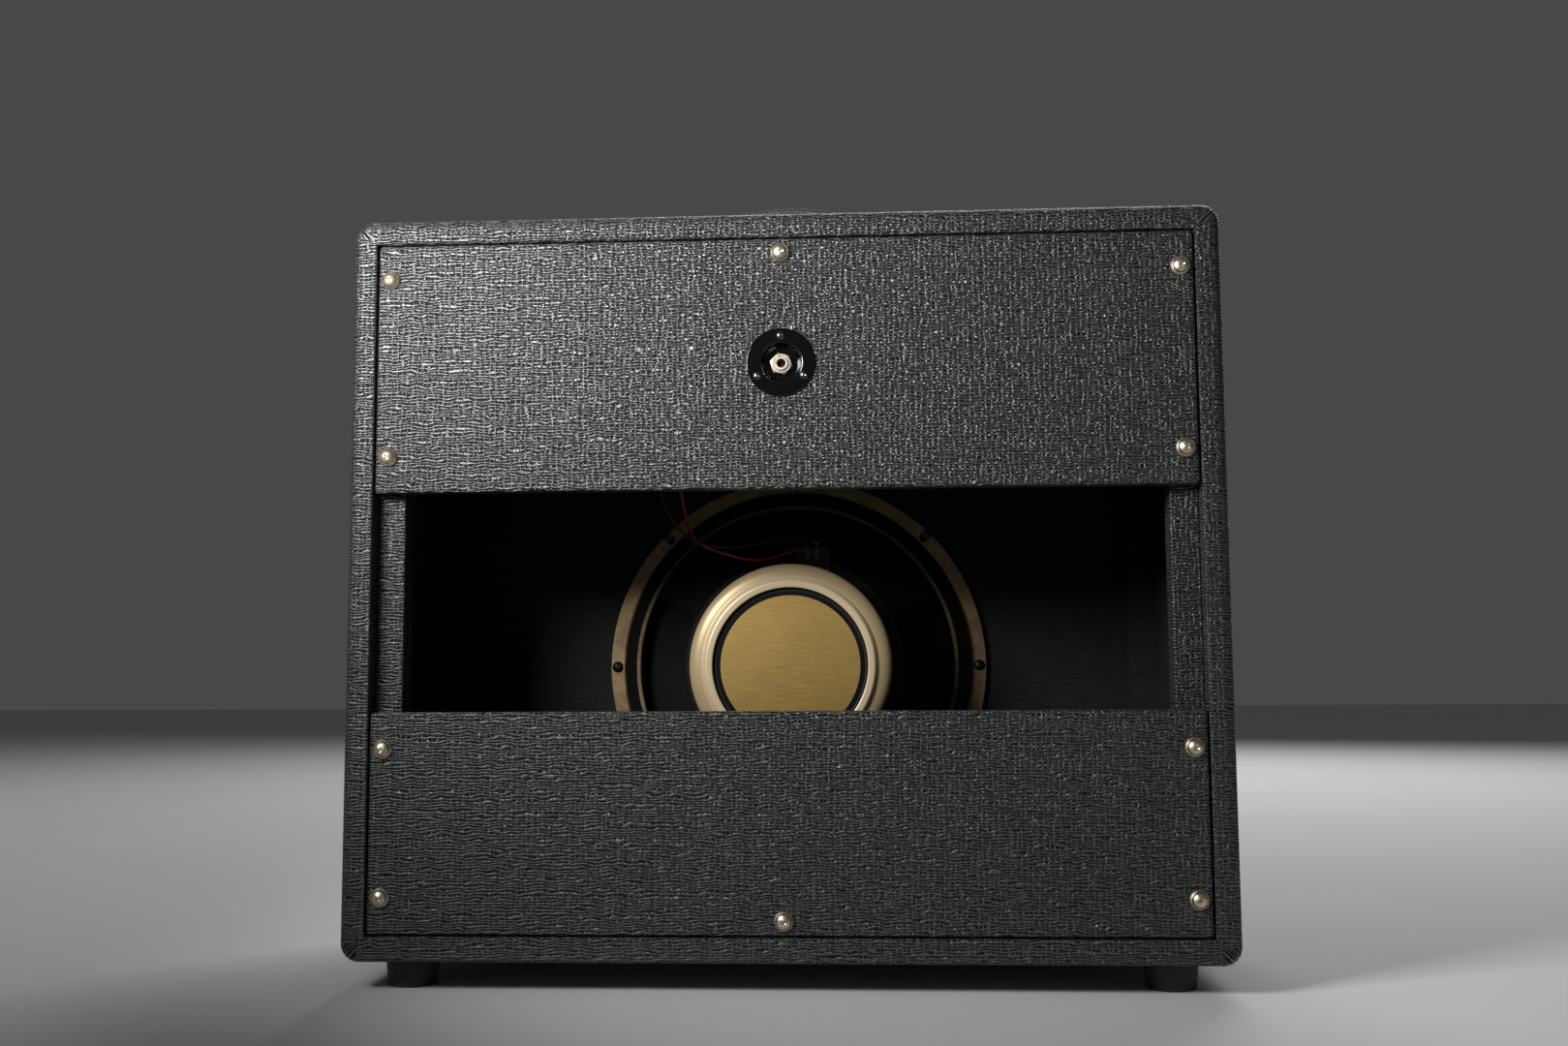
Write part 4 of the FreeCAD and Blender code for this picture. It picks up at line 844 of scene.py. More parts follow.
class Workpiece:
    """A mesh in the making, shaped with bmesh operators."""

    def __init__(self) -> None:
        """Starts with nothing on the bench."""
        self.mesh = bmesh.new()

    def block(self, low: Vector, high: Vector) -> None:
        """Adds a box.

        Args:
            low: its lowest corner.
            high: its highest corner.
        """
        made = bmesh.ops.create_cube(self.mesh, size=1.0)["verts"]
        bmesh.ops.scale(self.mesh, vec=high - low, verts=made)
        bmesh.ops.translate(self.mesh, vec=(low + high) / 2, verts=made)

    def turn(self, outline: Sequence[Point], steps: int = 64, angle: float = 2 * math.pi,
             closed: bool = False) -> None:
        """Turns an outline about Z.

        Args:
            outline: points as (radius, height), in metres.
            steps: how many steps the turn takes.
            angle: the turn in radians, right round unless it is given.
            closed: whether the outline's end joins its start.
        """
        rim = [self.mesh.verts.new((radius, 0.0, height)) for radius, height in outline]
        ends = rim[1:] + rim[:1] if closed else rim[1:]
        edges = [self.mesh.edges.new(pair) for pair in zip(rim, ends)]
        bmesh.ops.spin(self.mesh, geom=rim + edges, cent=(0, 0, 0), axis=(0, 0, 1), dvec=(0, 0, 0),
                       angle=angle, steps=steps, use_merge=angle >= 2 * math.pi)
        self.weld()

    def weld(self) -> None:
        """Merges doubled points and turns the faces outwards."""
        bmesh.ops.remove_doubles(self.mesh, verts=self.mesh.verts[:], dist=TOUCH)
        bmesh.ops.recalc_face_normals(self.mesh, faces=self.mesh.faces[:])

    def wrap(self, low: Vector, high: Vector, way: int, corner: tuple[float, int],
             rim: tuple[float, int], fold: float) -> None:
        """Adds a sheet that wraps a board's face and edges and is turned in behind it.

        Args:
            low: the board's lowest corner.
            high: its highest corner.
            way: 1 if the face is to the rear, -1 if it is to the front.
            corner: the radius and the segments of the board's corners.
            rim: the radius and the segments of its face's edges.
            fold: how far the sheet is turned in.
        """
        self.block(low, high)
        self.round_over(self.edges_along(1, MM), *corner)
        level = high.y if way > 0 else low.y
        edges = self.edges_where(lambda edge: all(abs(vert.co.y - level) < TOUCH for vert in edge.verts))
        self.round_over(edges, *rim)
        back = self.faces_where(lambda face: way * face.normal.y < -FACING)
        bmesh.ops.inset_region(self.mesh, faces=back, thickness=fold, use_even_offset=True)
        self.remove(back)

    def edges_where(self, test: Callable[[BMEdge], bool]) -> list[BMEdge]:
        """The edges that pass a test."""
        return [edge for edge in self.mesh.edges if test(edge)]

    def edges_along(self, axis: int, least: float) -> list[BMEdge]:
        """The edges that run further than a length along an axis."""
        return self.edges_where(lambda edge: abs((edge.verts[0].co - edge.verts[1].co)[axis]) > least)

    def faces_where(self, test: Callable[[BMFace], bool]) -> list[BMFace]:
        """The faces that pass a test."""
        return [face for face in self.mesh.faces if test(face)]

    def round_over(self, edges: Iterable[BMEdge], radius: float, segments: int = 3) -> None:
        """Rounds edges.

        Args:
            edges: the edges.
            radius: the radius of the rounding.
            segments: how many facets it has.
        """
        bmesh.ops.bevel(self.mesh, geom=list(edges), offset=radius, offset_type="OFFSET",
                        segments=segments, profile=0.5, affect="EDGES", material=-1,
                        clamp_overlap=True)

    def soften(self, radius: float, segments: int = 3, least: float = 24.0) -> None:
        """Rounds every sharp edge.

        Args:
            radius: the radius of the rounding.
            segments: how many facets it has.
            least: the angle in degrees above which an edge is sharp.
        """
        limit = math.radians(least)
        sharp = self.edges_where(lambda edge: edge.calc_face_angle(0.0) > limit)
        self.round_over(sharp, radius, segments)

    def run(self, edges: list[BMEdge], way: Vector) -> list[BMEdge]:
        """Draws edges out in a straight line.

        Args:
            edges: the edges to draw out.
            way: how far and where to.
        Returns:
            The edges at the new end.
        """
        made = bmesh.ops.extrude_edge_only(self.mesh, edges=edges)["geom"]
        points = [item for item in made if isinstance(item, BMVert)]
        bmesh.ops.translate(self.mesh, vec=way, verts=points)
        return [item for item in made if isinstance(item, BMEdge) and set(item.verts) <= set(points)]

    def bend(self, edges: list[BMEdge], centre: Vector, axis: Vector, angle: float,
             steps: int) -> list[BMEdge]:
        """Draws edges out round an axis.

        Args:
            edges: the edges to draw out.
            centre: a point on the axis.
            axis: the axis's direction.
            angle: the turn in radians.
            steps: how many steps it takes.
        Returns:
            The edges at the new end.
        """
        made = bmesh.ops.spin(self.mesh, geom=points_of(edges) + edges, cent=centre, axis=axis,
                              dvec=(0, 0, 0), angle=angle, steps=steps, use_merge=False)["geom_last"]
        return [item for item in made if isinstance(item, BMEdge)]

    def ring(self, radius: float, segments: int, place: Matrix) -> list[BMEdge]:
        """Adds a bare circle.

        Args:
            radius: its radius.
            segments: how many edges it has.
            place: the matrix that puts it in place.
        Returns:
            Its edges.
        """
        made = bmesh.ops.create_circle(self.mesh, cap_ends=False, segments=segments, radius=radius,
                                       matrix=place)["verts"]
        return list(dict.fromkeys(edge for vert in made for edge in vert.link_edges))

    def cut(self, place: Vector, normal: Vector) -> None:
        """Adds edges where a plane passes."""
        geometry = [*self.mesh.verts, *self.mesh.edges, *self.mesh.faces]
        bmesh.ops.bisect_plane(self.mesh, geom=geometry, plane_co=place, plane_no=normal, dist=TOUCH)

    def remove(self, faces: list[BMFace]) -> None:
        """Deletes faces and what only they used."""
        bmesh.ops.delete(self.mesh, geom=faces, context="FACES")

    def stamp(self, other: "Workpiece", place: Matrix) -> None:
        """Adds a copy of another workpiece.

        Args:
            other: the workpiece to copy.
            place: the matrix that puts the copy in place.
        """
        copy = bpy.data.meshes.new("stamp")
        other.mesh.to_mesh(copy)
        count = len(self.mesh.verts)
        self.mesh.from_mesh(copy)
        self.mesh.verts.ensure_lookup_table()
        bmesh.ops.transform(self.mesh, matrix=place, verts=self.mesh.verts[count:])
        bpy.data.meshes.remove(copy)

    def shift(self, place: Matrix) -> None:
        """Moves everything."""
        bmesh.ops.transform(self.mesh, matrix=place, verts=self.mesh.verts[:])

    def lay_weave(self) -> None:
        """Writes the weave map: each face's flat place in metres, seen along its main direction."""
        layer = self.mesh.loops.layers.uv.new(WEAVE_MAP)
        for face in self.mesh.faces:
            facing = [abs(part) for part in face.normal]
            main = facing.index(max(facing))
            first, second = [(1, 2), (0, 2), (0, 1)][main]
            for loop in face.loops:
                loop[layer].uv = (loop.vert.co[first], loop.vert.co[second])

    def hand_over(self, name: str, finish: bpy.types.Material, sharp: float = CRISP) -> bpy.types.Object:
        """Turns the workpiece into an object at the origin.

        Args:
            name: the piece's name.
            finish: its material.
            sharp: the angle in degrees above which an edge stays crisp.
        Returns:
            The new object.
        """
        data = bpy.data.meshes.new(name)
        self.mesh.normal_update()
        self.mesh.to_mesh(data)
        self.mesh.free()
        data.shade_smooth()
        data.set_sharp_from_angle(angle=math.radians(sharp))
        data.materials.append(finish)
        return put_in_scene(name, data)


def weigh_normals(piece: bpy.types.Object) -> None:
    """Lets large flat faces set the shading at their rounded edges.

    Args:
        piece: the piece to shade.
    """
    weight = piece.modifiers.new("flat_faces", "WEIGHTED_NORMAL")
    weight.keep_sharp = True
    weight.weight = FLAT_WEIGHT


def thicken(piece: bpy.types.Object, name: str, thickness: float, offset: float) -> None:
    """Gives a thin sheet its thickness.

    Args:
        piece: the sheet.
        name: the modifier's name.
        thickness: how thick it gets.
        offset: 0 to thicken both ways, -1 to thicken inwards.
    """
    wall = piece.modifiers.new(name, "SOLIDIFY")
    wall.thickness = thickness
    wall.offset = offset


def settle(piece: bpy.types.Object, body: Body, node: str) -> bpy.types.Object:
    """Rides a piece on its body, hides the node that it stands for, and logs it.

    Args:
        piece: the finished piece.
        body: the body that carries it.
        node: the node that it replaces.
    Returns:
        The piece.
    """
    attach(piece, body.value)
    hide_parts(node)
    log.info("%s on %s for %s", piece.name, body.value, node)
    return piece


def deliver(work: Workpiece, name: str, finish: bpy.types.Material, node: str, *,
            body: Body = Body.CABINET, sharp: float = CRISP, flat: bool = False) -> bpy.types.Object:
    """Turns a workpiece into a settled piece.

    Args:
        work: the finished workpiece.
        name: the piece's name.
        finish: its material.
        node: the node that it replaces.
        body: the body that carries it.
        sharp: the angle in degrees above which an edge stays crisp.
        flat: whether large flat faces set the shading at their edges.
    Returns:
        The piece.
    """
    piece = work.hand_over(name, finish, sharp)
    if flat:
        weigh_normals(piece)
    return settle(piece, body, node)


def bridge(piece: bpy.types.Object, node: str) -> None:
    """Bakes a piece's placing into its mesh, and hides the node that it stands for.

    Args:
        piece: the finished piece.
        node: the node that it replaces.
    """
    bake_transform(piece)
    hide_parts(node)


@dataclass(frozen=True)
class CrossScrew:
    """A screw's visible head with a tapered cross recess; the shares are of the head's radius."""

    head_radius: float
    dome: float
    side: float
    steps: int = 32
    crown_shares: tuple[float, ...] = (1.0, 0.9, 0.78, 0.66)
    mouth_share: float = 0.56
    foot_share: float = 0.96
    arm_length: float = 0.50
    arm_width: float = 0.13
    recess_depth: float = 0.26
    recess_floor: float = 0.15

    def make(self) -> Workpiece:
        """Builds the head round Z, with its seat at the origin.

        Returns:
            The head.
        """
        work = Workpiece()
        mouth = self.mouth_share * self.head_radius
        sphere = (self.head_radius ** 2 + self.dome ** 2) / (2 * self.dome)
        base = self.side + self.dome - sphere
        radii = [self.head_radius * share for share in self.crown_shares] + [mouth]
        crown = [(radius, base + math.sqrt(sphere ** 2 - radius ** 2)) for radius in radii]
        work.turn([(self.head_radius * self.foot_share, 0.0), *crown], self.steps)
        rim = work.edges_where(lambda edge: edge.is_boundary
                               and all(vert.co.xy.length < mouth * 1.01 for vert in edge.verts))
        slot = self.cross(work, base, sphere)
        bmesh.ops.bridge_loops(work.mesh, edges=rim + slot)
        floor = work.run(slot, Vector((0, 0, -self.recess_depth * self.head_radius)))
        taper = (self.recess_floor, self.recess_floor, 1.0)
        bmesh.ops.scale(work.mesh, vec=taper, verts=points_of(floor))
        bmesh.ops.edgeloop_fill(work.mesh, edges=floor)
        work.weld()
        return work

    def cross(self, work: Workpiece, base: float, sphere: float) -> list[BMEdge]:
        """Adds the outline of the cross on the crown.

        Args:
            work: the workpiece to add it to.
            base: the height of the crown's centre.
            sphere: the crown's radius.
        Returns:
            The outline's edges.
        """
        long = self.arm_length * self.head_radius
        wide = self.arm_width * self.head_radius
        points = []
        for quarter in range(4):
            spin = Matrix.Rotation(quarter * math.pi / 2, 3, "Z")
            for x, y in ((long, -wide), (long, wide), (wide, wide)):
                height = base + math.sqrt(sphere ** 2 - x * x - y * y)
                points.append(work.mesh.verts.new(spin @ Vector((x, y, height))))
        return [work.mesh.edges.new(pair) for pair in zip(points, points[1:] + points[:1])]


# Sub-assemblies

@dataclass
class CabinetShell:
    """The vinyl round the carcass, with pleats where it is folded round the corners."""

    vinyl: bpy.types.Material
    corner_radius: float = 13 * MM
    edge_radius: float = 8 * MM
    lip_radius: float = 1.8 * MM
    wall: float = 18 * MM
    corner_steps: int = 36
    edge_steps: int = 6
    lip_steps: int = 3
    square: float = 60.0
    pleats: int = 5
    pleat_height: float = 0.3 * MM
    pleat_reach: float = 27.0
    pleat_draw: float = 0.35
    pleat_fade: float = 0.5

    def build(self) -> None:
        """Makes the covering."""
        self.low, self.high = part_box("cabinet_covering")
        self.middle = (self.low + self.high) / 2
        self.reach = (self.high - self.low) / 2
        work = Workpiece()
        work.block(self.low, self.high)
        work.round_over(work.edges_along(1, self.wall), self.corner_radius, self.corner_steps)
        self.open_ends(work)
        self.fan_corners(work)
        self.round_rims(work)
        self.pleat_corners(work)
        work.lay_weave()
        self.turn_weave(work)
        deliver(work, "cabinet_vinyl", self.vinyl, "cabinet_covering", flat=True)

    def opening(self) -> tuple[Vector, Vector]:
        """The corners of the way through the cabinet, inside its lips."""
        inset = Vector((self.wall, 0, self.wall))
        return self.low + inset, self.high - inset

    def open_ends(self, work: Workpiece) -> None:
        """Cuts both ends open and turns the vinyl in over the lips.

        Args:
            work: the covering's workpiece.
        """
        low, high = self.opening()
        for place, normal in ((low, (1, 0, 0)), (high, (1, 0, 0)), (low, (0, 0, 1)), (high, (0, 0, 1))):
            work.cut(place, Vector(normal))
        rear_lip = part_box("upper_panel_covering")[0].y
        front_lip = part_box("baffle_board")[0].y
        for y, depth in ((self.high.y, rear_lip), (self.low.y, front_lip)):
            spots = [(face, face.calc_center_median()) for face in work.mesh.faces]
            middle = [face for face, spot in spots if abs(spot.y - y) < MM and self.inside(spot)]
            made = bmesh.ops.extrude_face_region(work.mesh, geom=middle)["geom"]
            points = [item for item in made if isinstance(item, BMVert)]
            bmesh.ops.translate(work.mesh, vec=(0, depth - y, 0), verts=points)
            work.remove([item for item in made if isinstance(item, BMFace)])
            work.remove([face for face in middle if face.is_valid])

    def inside(self, place: Vector, slack: float = 0.0) -> bool:
        """Whether a place lies in the way through, or within some slack of it."""
        low, high = self.opening()
        return low.x - slack < place.x < high.x + slack and low.z - slack < place.z < high.z + slack

    def fan_corners(self, work: Workpiece) -> None:
        """Joins each inner corner of the rims to the round outline, as the vinyl is folded.

        Args:
            work: the covering's workpiece.
        """
        low, high = self.opening()
        for y in (self.low.y, self.high.y):
            for x, z in ((low.x, low.z), (low.x, high.z), (high.x, low.z), (high.x, high.z)):
                inner = min(work.mesh.verts, key=lambda vert: (vert.co - Vector((x, y, z))).length)
                out_x = x - self.middle.x
                out_z = z - self.middle.z
                arc = [vert for vert in work.mesh.verts if abs(vert.co.y - y) < TOUCH
                       and (vert.co.x - x) * out_x > TOUCH and (vert.co.z - z) * out_z > TOUCH]
                for vert in arc:
                    bmesh.ops.connect_verts(work.mesh, verts=[inner, vert])

    def round_rims(self, work: Workpiece) -> None:
        """Rounds the outer edges of both rims, then their inner lips.

        Args:
            work: the covering's workpiece.
        """
        square = math.radians(self.square)
        for outer, radius, segments in ((True, self.edge_radius, self.edge_steps),
                                        (False, self.lip_radius, self.lip_steps)):
            rims = []
            for edge in work.mesh.edges:
                middle = (edge.verts[0].co + edge.verts[1].co) / 2
                at_end = min(abs(middle.y - self.low.y), abs(middle.y - self.high.y)) < NEAR
                if at_end and edge.calc_face_angle(0.0) > square and self.inside(middle, MM) != outer:
                    rims.append(edge)
            work.round_over(rims, radius, segments)

    def pleat_corners(self, work: Workpiece) -> None:
        """Raises small pleats round the corners of both rims.

        Args:
            work: the covering's workpiece.
        """
        work.mesh.normal_update()
        for vert in work.mesh.verts:
            place = vert.co - self.middle
            out_x = abs(place.x) - self.reach.x + self.corner_radius
            out_z = abs(place.z) - self.reach.z + self.corner_radius
            from_end = self.reach.y - abs(place.y)
            if out_x < 0 or out_z < 0 or from_end > self.edge_radius:
                continue
            angle = math.atan2(out_z, out_x) - math.pi / 4
            fade = math.cos(2 * angle) ** 2 * (1 - self.pleat_fade * from_end / self.edge_radius)
            wave = math.cos(4 * self.pleats * angle)
            vert.co += vert.normal * (self.pleat_height * fade * wave)

    def turn_weave(self, work: Workpiece) -> None:
        """Lays the weave's rows along the fold in the corners of both rims.

        Args:
            work: the covering's workpiece, with its weave map.
        """
        layer = work.mesh.loops.layers.uv[WEAVE_MAP]
        diagonal = math.sqrt(0.5)
        for face in work.mesh.faces:
            place = face.calc_center_median() - self.middle
            across = abs(place.x) - self.reach.x + self.wall
            upward = abs(place.z) - self.reach.z + self.wall
            if self.reach.y - abs(place.y) > self.edge_radius or min(across, upward) <= 0:
                continue
            if abs(math.degrees(math.atan2(upward, across)) - 45.0) > self.pleat_reach:
                continue
            side = math.copysign(diagonal, place.x * place.z)
            for loop in face.loops:
                x, _, z = loop.vert.co
                loop[layer].uv = ((side * x + diagonal * z) * self.pleat_draw, diagonal * z - side * x)


@dataclass
class BackPanels:
    """The two vinyl covered back panels, their screws and their cup washers."""

    vinyl: bpy.types.Material
    nickel: bpy.types.Material
    edge_radius: float = 2.5 * MM
    corner_radius: float = 2.0 * MM
    edge_steps: int = 4
    corner_steps: int = 3
    fold_back: float = 25 * MM
    jack_hole: float = 16.6 * MM
    hole_margin: float = 1.5
    side_inset: float = 9.2 * MM
    end_inset: float = 25 * MM
    middle_inset: float = 10 * MM
    hole_cuts: int = 11
    hole_lining: float = 12 * MM
    cup_height: float = 2.3 * MM
    cup_steps: int = 40
    cup_profile: tuple[Point, ...] = ((6.5, 0.0), (6.9, 0.3), (6.75, 0.8), (6.4, 1.4), (6.1, 1.9),
                                      (5.65, 2.3), (5.4, 2.0), (3.76, 0.2))
    screw: CrossScrew = CrossScrew(4.7 * MM, 2.0 * MM, 1.0 * MM)
    screw_sink: float = 0.3
    screw_turns: tuple[float, ...] = (12, 47, 71, 30, 5, 64, 22, 80, 38, 55)

    def build(self) -> None:
        """Makes both coverings and all their fixings."""
        self.covering("upper_panel_covering", "upper_panel_vinyl", middle_of("jack_plate").z)
        self.covering("lower_panel_covering", "lower_panel_vinyl", None)
        self.fixings()

    def covering(self, node: str, name: str, hole: float | None) -> None:
        """Makes one panel's covering.

        Args:
            node: the node that it replaces.
            name: the new piece's name.
            hole: the height of the jack's hole, or None for a plain panel.
        """
        low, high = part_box(node)
        work = Workpiece()
        work.wrap(low, high, 1, (self.corner_radius, self.corner_steps),
                  (self.edge_radius, self.edge_steps), self.fold_back)
        if hole is not None:
            self.open_jack(work, high.y, hole)
        work.lay_weave()
        deliver(work, name, self.vinyl, node, flat=True)

    def open_jack(self, work: Workpiece, rear: float, height: float) -> None:
        """Opens the jack's round hole in the rear face and lines it.

        Args:
            work: the panel's workpiece.
            rear: where the rear face is.
            height: the height of the hole's middle.
        """
        reach = self.hole_margin * self.jack_hole
        for offset in (-reach, reach):
            work.cut(Vector((offset, rear, height)), Vector((1, 0, 0)))
            work.cut(Vector((0, rear, height + offset)), Vector((0, 0, 1)))
        middle = Vector((0, rear, height))
        face = min(work.mesh.faces, key=lambda item: (item.calc_center_median() - middle).length)
        edges = list(face.edges)
        work.remove([face])
        split = bmesh.ops.subdivide_edges(work.mesh, edges=edges, cuts=self.hole_cuts)["geom_inner"]
        square = dict.fromkeys(edge for vert in split for edge in vert.link_edges if edge.is_boundary)
        cover = bmesh.ops.edgeloop_fill(work.mesh, edges=list(square))["faces"]
        bmesh.ops.inset_region(work.mesh, faces=cover, thickness=MM, use_even_offset=True)
        for vert in cover[0].verts:
            vert.co = middle + (vert.co - middle).normalized() * self.jack_hole
        circle = list(cover[0].edges)
        work.remove(cover)
        work.run(circle, Vector((0, -self.hole_lining, 0)))

    def places(self) -> list[Vector]:
        """Finds where the screws are, on the rear faces.

        Returns:
            The place of each screw.
        """
        found = []
        for node, middle_at_top in (("upper_panel_covering", True), ("lower_panel_covering", False)):
            low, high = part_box(node)
            for x in (low.x + self.side_inset, high.x - self.side_inset):
                for z in (high.z - self.end_inset, low.z + self.end_inset):
                    found.append(Vector((x, high.y, z)))
            middle = high.z - self.middle_inset if middle_at_top else low.z + self.middle_inset
            found.append(Vector((0, high.y, middle)))
        return found

    def fixings(self) -> None:
        """Makes the cup washers and the screws."""
        cup = Workpiece()
        cup.turn([(radius * MM, height * MM) for radius, height in self.cup_profile], self.cup_steps)
        head = self.screw.make()
        cups = Workpiece()
        heads = Workpiece()
        for place, turn in zip(self.places(), self.screw_turns):
            cups.stamp(cup, facing_rear(place))
            seated = place + Vector((0, self.cup_height - self.screw_sink * self.screw.side, 0))
            heads.stamp(head, facing_rear(seated, turn))
        deliver(cups, "panel_cup_washers", self.nickel, "cup_washers")
        deliver(heads, "panel_screw_heads", self.nickel, "back_panel_screws")


@dataclass
class RearCleats:
    """The vinyl folded over the two upright cleats."""

    vinyl: bpy.types.Material
    edge_radius: float = 1.6 * MM
    width: float = 20.5 * MM

    def build(self) -> None:
        """Makes both strips as one piece."""
        low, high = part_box("cleat_coverings")
        work = Workpiece()
        for left, right in ((low.x, low.x + self.width), (high.x - self.width, high.x)):
            strip = Workpiece()
            strip.block(Vector((left, low.y, low.z)), Vector((right, high.y, high.z)))
            strip.round_over(strip.edges_along(2, self.width), self.edge_radius)
            work.stamp(strip, Matrix.Identity(4))
        work.lay_weave()
        deliver(work, "cleat_vinyl", self.vinyl, "cleat_coverings", flat=True)


@dataclass
class JackSet:
    """The dished jack plate with its screws, and the jack's washer and nut.

    The drop and the width of the plate's rim are shares of its sheet.
    """

    black: bpy.types.Material
    dark_screw: bpy.types.Material
    nickel: bpy.types.Material
    plate_radius: float = 24.3 * MM
    plate_steps: int = 96
    sheet: float = 1.2 * MM
    rim_drop: float = 0.45
    rim_width: float = 0.5
    dish_radius: float = 14.6 * MM
    floor_radius: float = 11.7 * MM
    dish_depth: float = 8.0 * MM
    dish_round: float = 1.1 * MM
    dish_steps: int = 4
    plate_edge: float = 0.22 * MM
    break_steps: int = 2
    bushing_radius: float = 4.85 * MM
    screw_circle: float = 18.8 * MM
    screw: CrossScrew = CrossScrew(3.0 * MM, 1.3 * MM, 0.5 * MM)
    screw_turns: tuple[float, ...] = (20, 58, 75)
    washer_radius: float = 7.0 * MM
    washer_thickness: float = 0.8 * MM
    washer_edge: float = 0.15 * MM
    washer_steps: int = 64
    nut_flats: float = 14.0 * MM
    nut_crown: float = 6.58 * MM
    nut_slope: float = 0.62
    nut_thickness: float = 2.6 * MM
    countersink: float = 0.75 * MM
    countersink_depth: float = 0.9 * MM
    nut_turn: float = -13.0
    nut_steps: int = 72
    nut_crisp: float = 16.0

    def build(self) -> None:
        """Makes the plate, its screws, the washer and the nut."""
        self.centre = Vector((0, 0, middle_of("jack_plate").z))
        self.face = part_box("jack_plate")[1].y
        self.floor = self.face - self.dish_depth
        self.plate()
        self.screws()
        self.washer()
        self.nut()

    def plate(self) -> None:
        """Makes the dished plate."""
        back = self.face - self.sheet
        under = self.floor - self.sheet
        work = Workpiece()
        work.turn([(self.plate_radius, back), (self.plate_radius, self.face - self.rim_drop * self.sheet),
                   (self.plate_radius - self.rim_width * self.sheet, self.face),
                   (self.dish_radius, self.face), (self.floor_radius, self.floor),
                   (self.bushing_radius, self.floor),
                   (self.bushing_radius, under), (self.floor_radius + self.sheet, under),
                   (self.dish_radius + self.sheet, back)], self.plate_steps, closed=True)
        lip = work.edges_where(lambda edge: all(abs(vert.co.xy.length - self.dish_radius) < NEAR
                                                for vert in edge.verts))
        work.round_over(lip, self.dish_round, self.dish_steps)
        work.soften(self.plate_edge, self.break_steps)
        work.shift(facing_rear(self.centre))
        deliver(work, "dished_jack_plate", self.black, "jack_plate", flat=True)

    def screws(self) -> None:
        """Makes the three small screws."""
        head = self.screw.make()
        work = Workpiece()
        for index, turn in enumerate(self.screw_turns):
            angle = 2 * math.pi * index / len(self.screw_turns)
            place = self.centre + Vector((math.sin(angle), 0, math.cos(angle))) * self.screw_circle
            work.stamp(head, facing_rear(place + Vector((0, self.face, 0)), turn))
        deliver(work, "jack_plate_screw_heads", self.dark_screw, "jack_plate_screws")

    def washer(self) -> None:
        """Makes the flat washer."""
        top = self.floor + self.washer_thickness
        work = Workpiece()
        work.turn([(self.bushing_radius, self.floor), (self.washer_radius, self.floor),
                   (self.washer_radius, top), (self.bushing_radius, top)], self.washer_steps,
                  closed=True)
        work.soften(self.washer_edge, self.break_steps)
        work.shift(facing_rear(self.centre))
        deliver(work, "jack_flat_washer", self.nickel, "jack_washer")

    def nut(self) -> None:
        """Makes the hexagon nut with its corners turned down and its bore countersunk."""
        foot = self.floor + self.washer_thickness
        crown = foot + self.nut_thickness
        mouth = self.bushing_radius + self.countersink
        shapes = (lambda angle: (mouth, crown),
                  lambda angle: (self.nut_crown, crown),
                  lambda angle: (self.hexagon(angle), self.turned_down(angle, crown)),
                  lambda angle: (self.hexagon(angle), foot),
                  lambda angle: (self.bushing_radius, foot))
        work = Workpiece()
        start = Matrix.Translation((0, 0, crown - self.countersink_depth))
        edges = work.ring(self.bushing_radius, self.nut_steps, start)
        for shape in shapes:
            edges = self.next_loop(work, edges, shape)
        work.weld()
        work.shift(facing_rear(self.centre, self.nut_turn))
        deliver(work, "jack_hexagon_nut", self.nickel, "jack_nut", sharp=self.nut_crisp)

    def hexagon(self, angle: float) -> float:
        """The nut's radius at an angle."""
        return 0.5 * self.nut_flats / math.cos(angle % (math.pi / 3) - math.pi / 6)

    def turned_down(self, angle: float, crown: float) -> float:
        """The height of the nut's turned edge at an angle."""
        return crown - self.nut_slope * (self.hexagon(angle) - self.nut_crown)

    def next_loop(self, work: Workpiece, edges: list[BMEdge],
                  shape: Callable[[float], Point]) -> list[BMEdge]:
        """Draws a loop out to its next outline.

        Args:
            work: the workpiece.
            edges: the loop so far.
            shape: the radius and the height at each angle.
        Returns:
            The edges of the new loop.
        """
        ends = work.run(edges, Vector((0, 0, 0)))
        for vert in points_of(ends):
            angle = math.atan2(vert.co.y, vert.co.x)
            radius, height = shape(angle)
            vert.co = (radius * math.cos(angle), radius * math.sin(angle), height)
        return ends


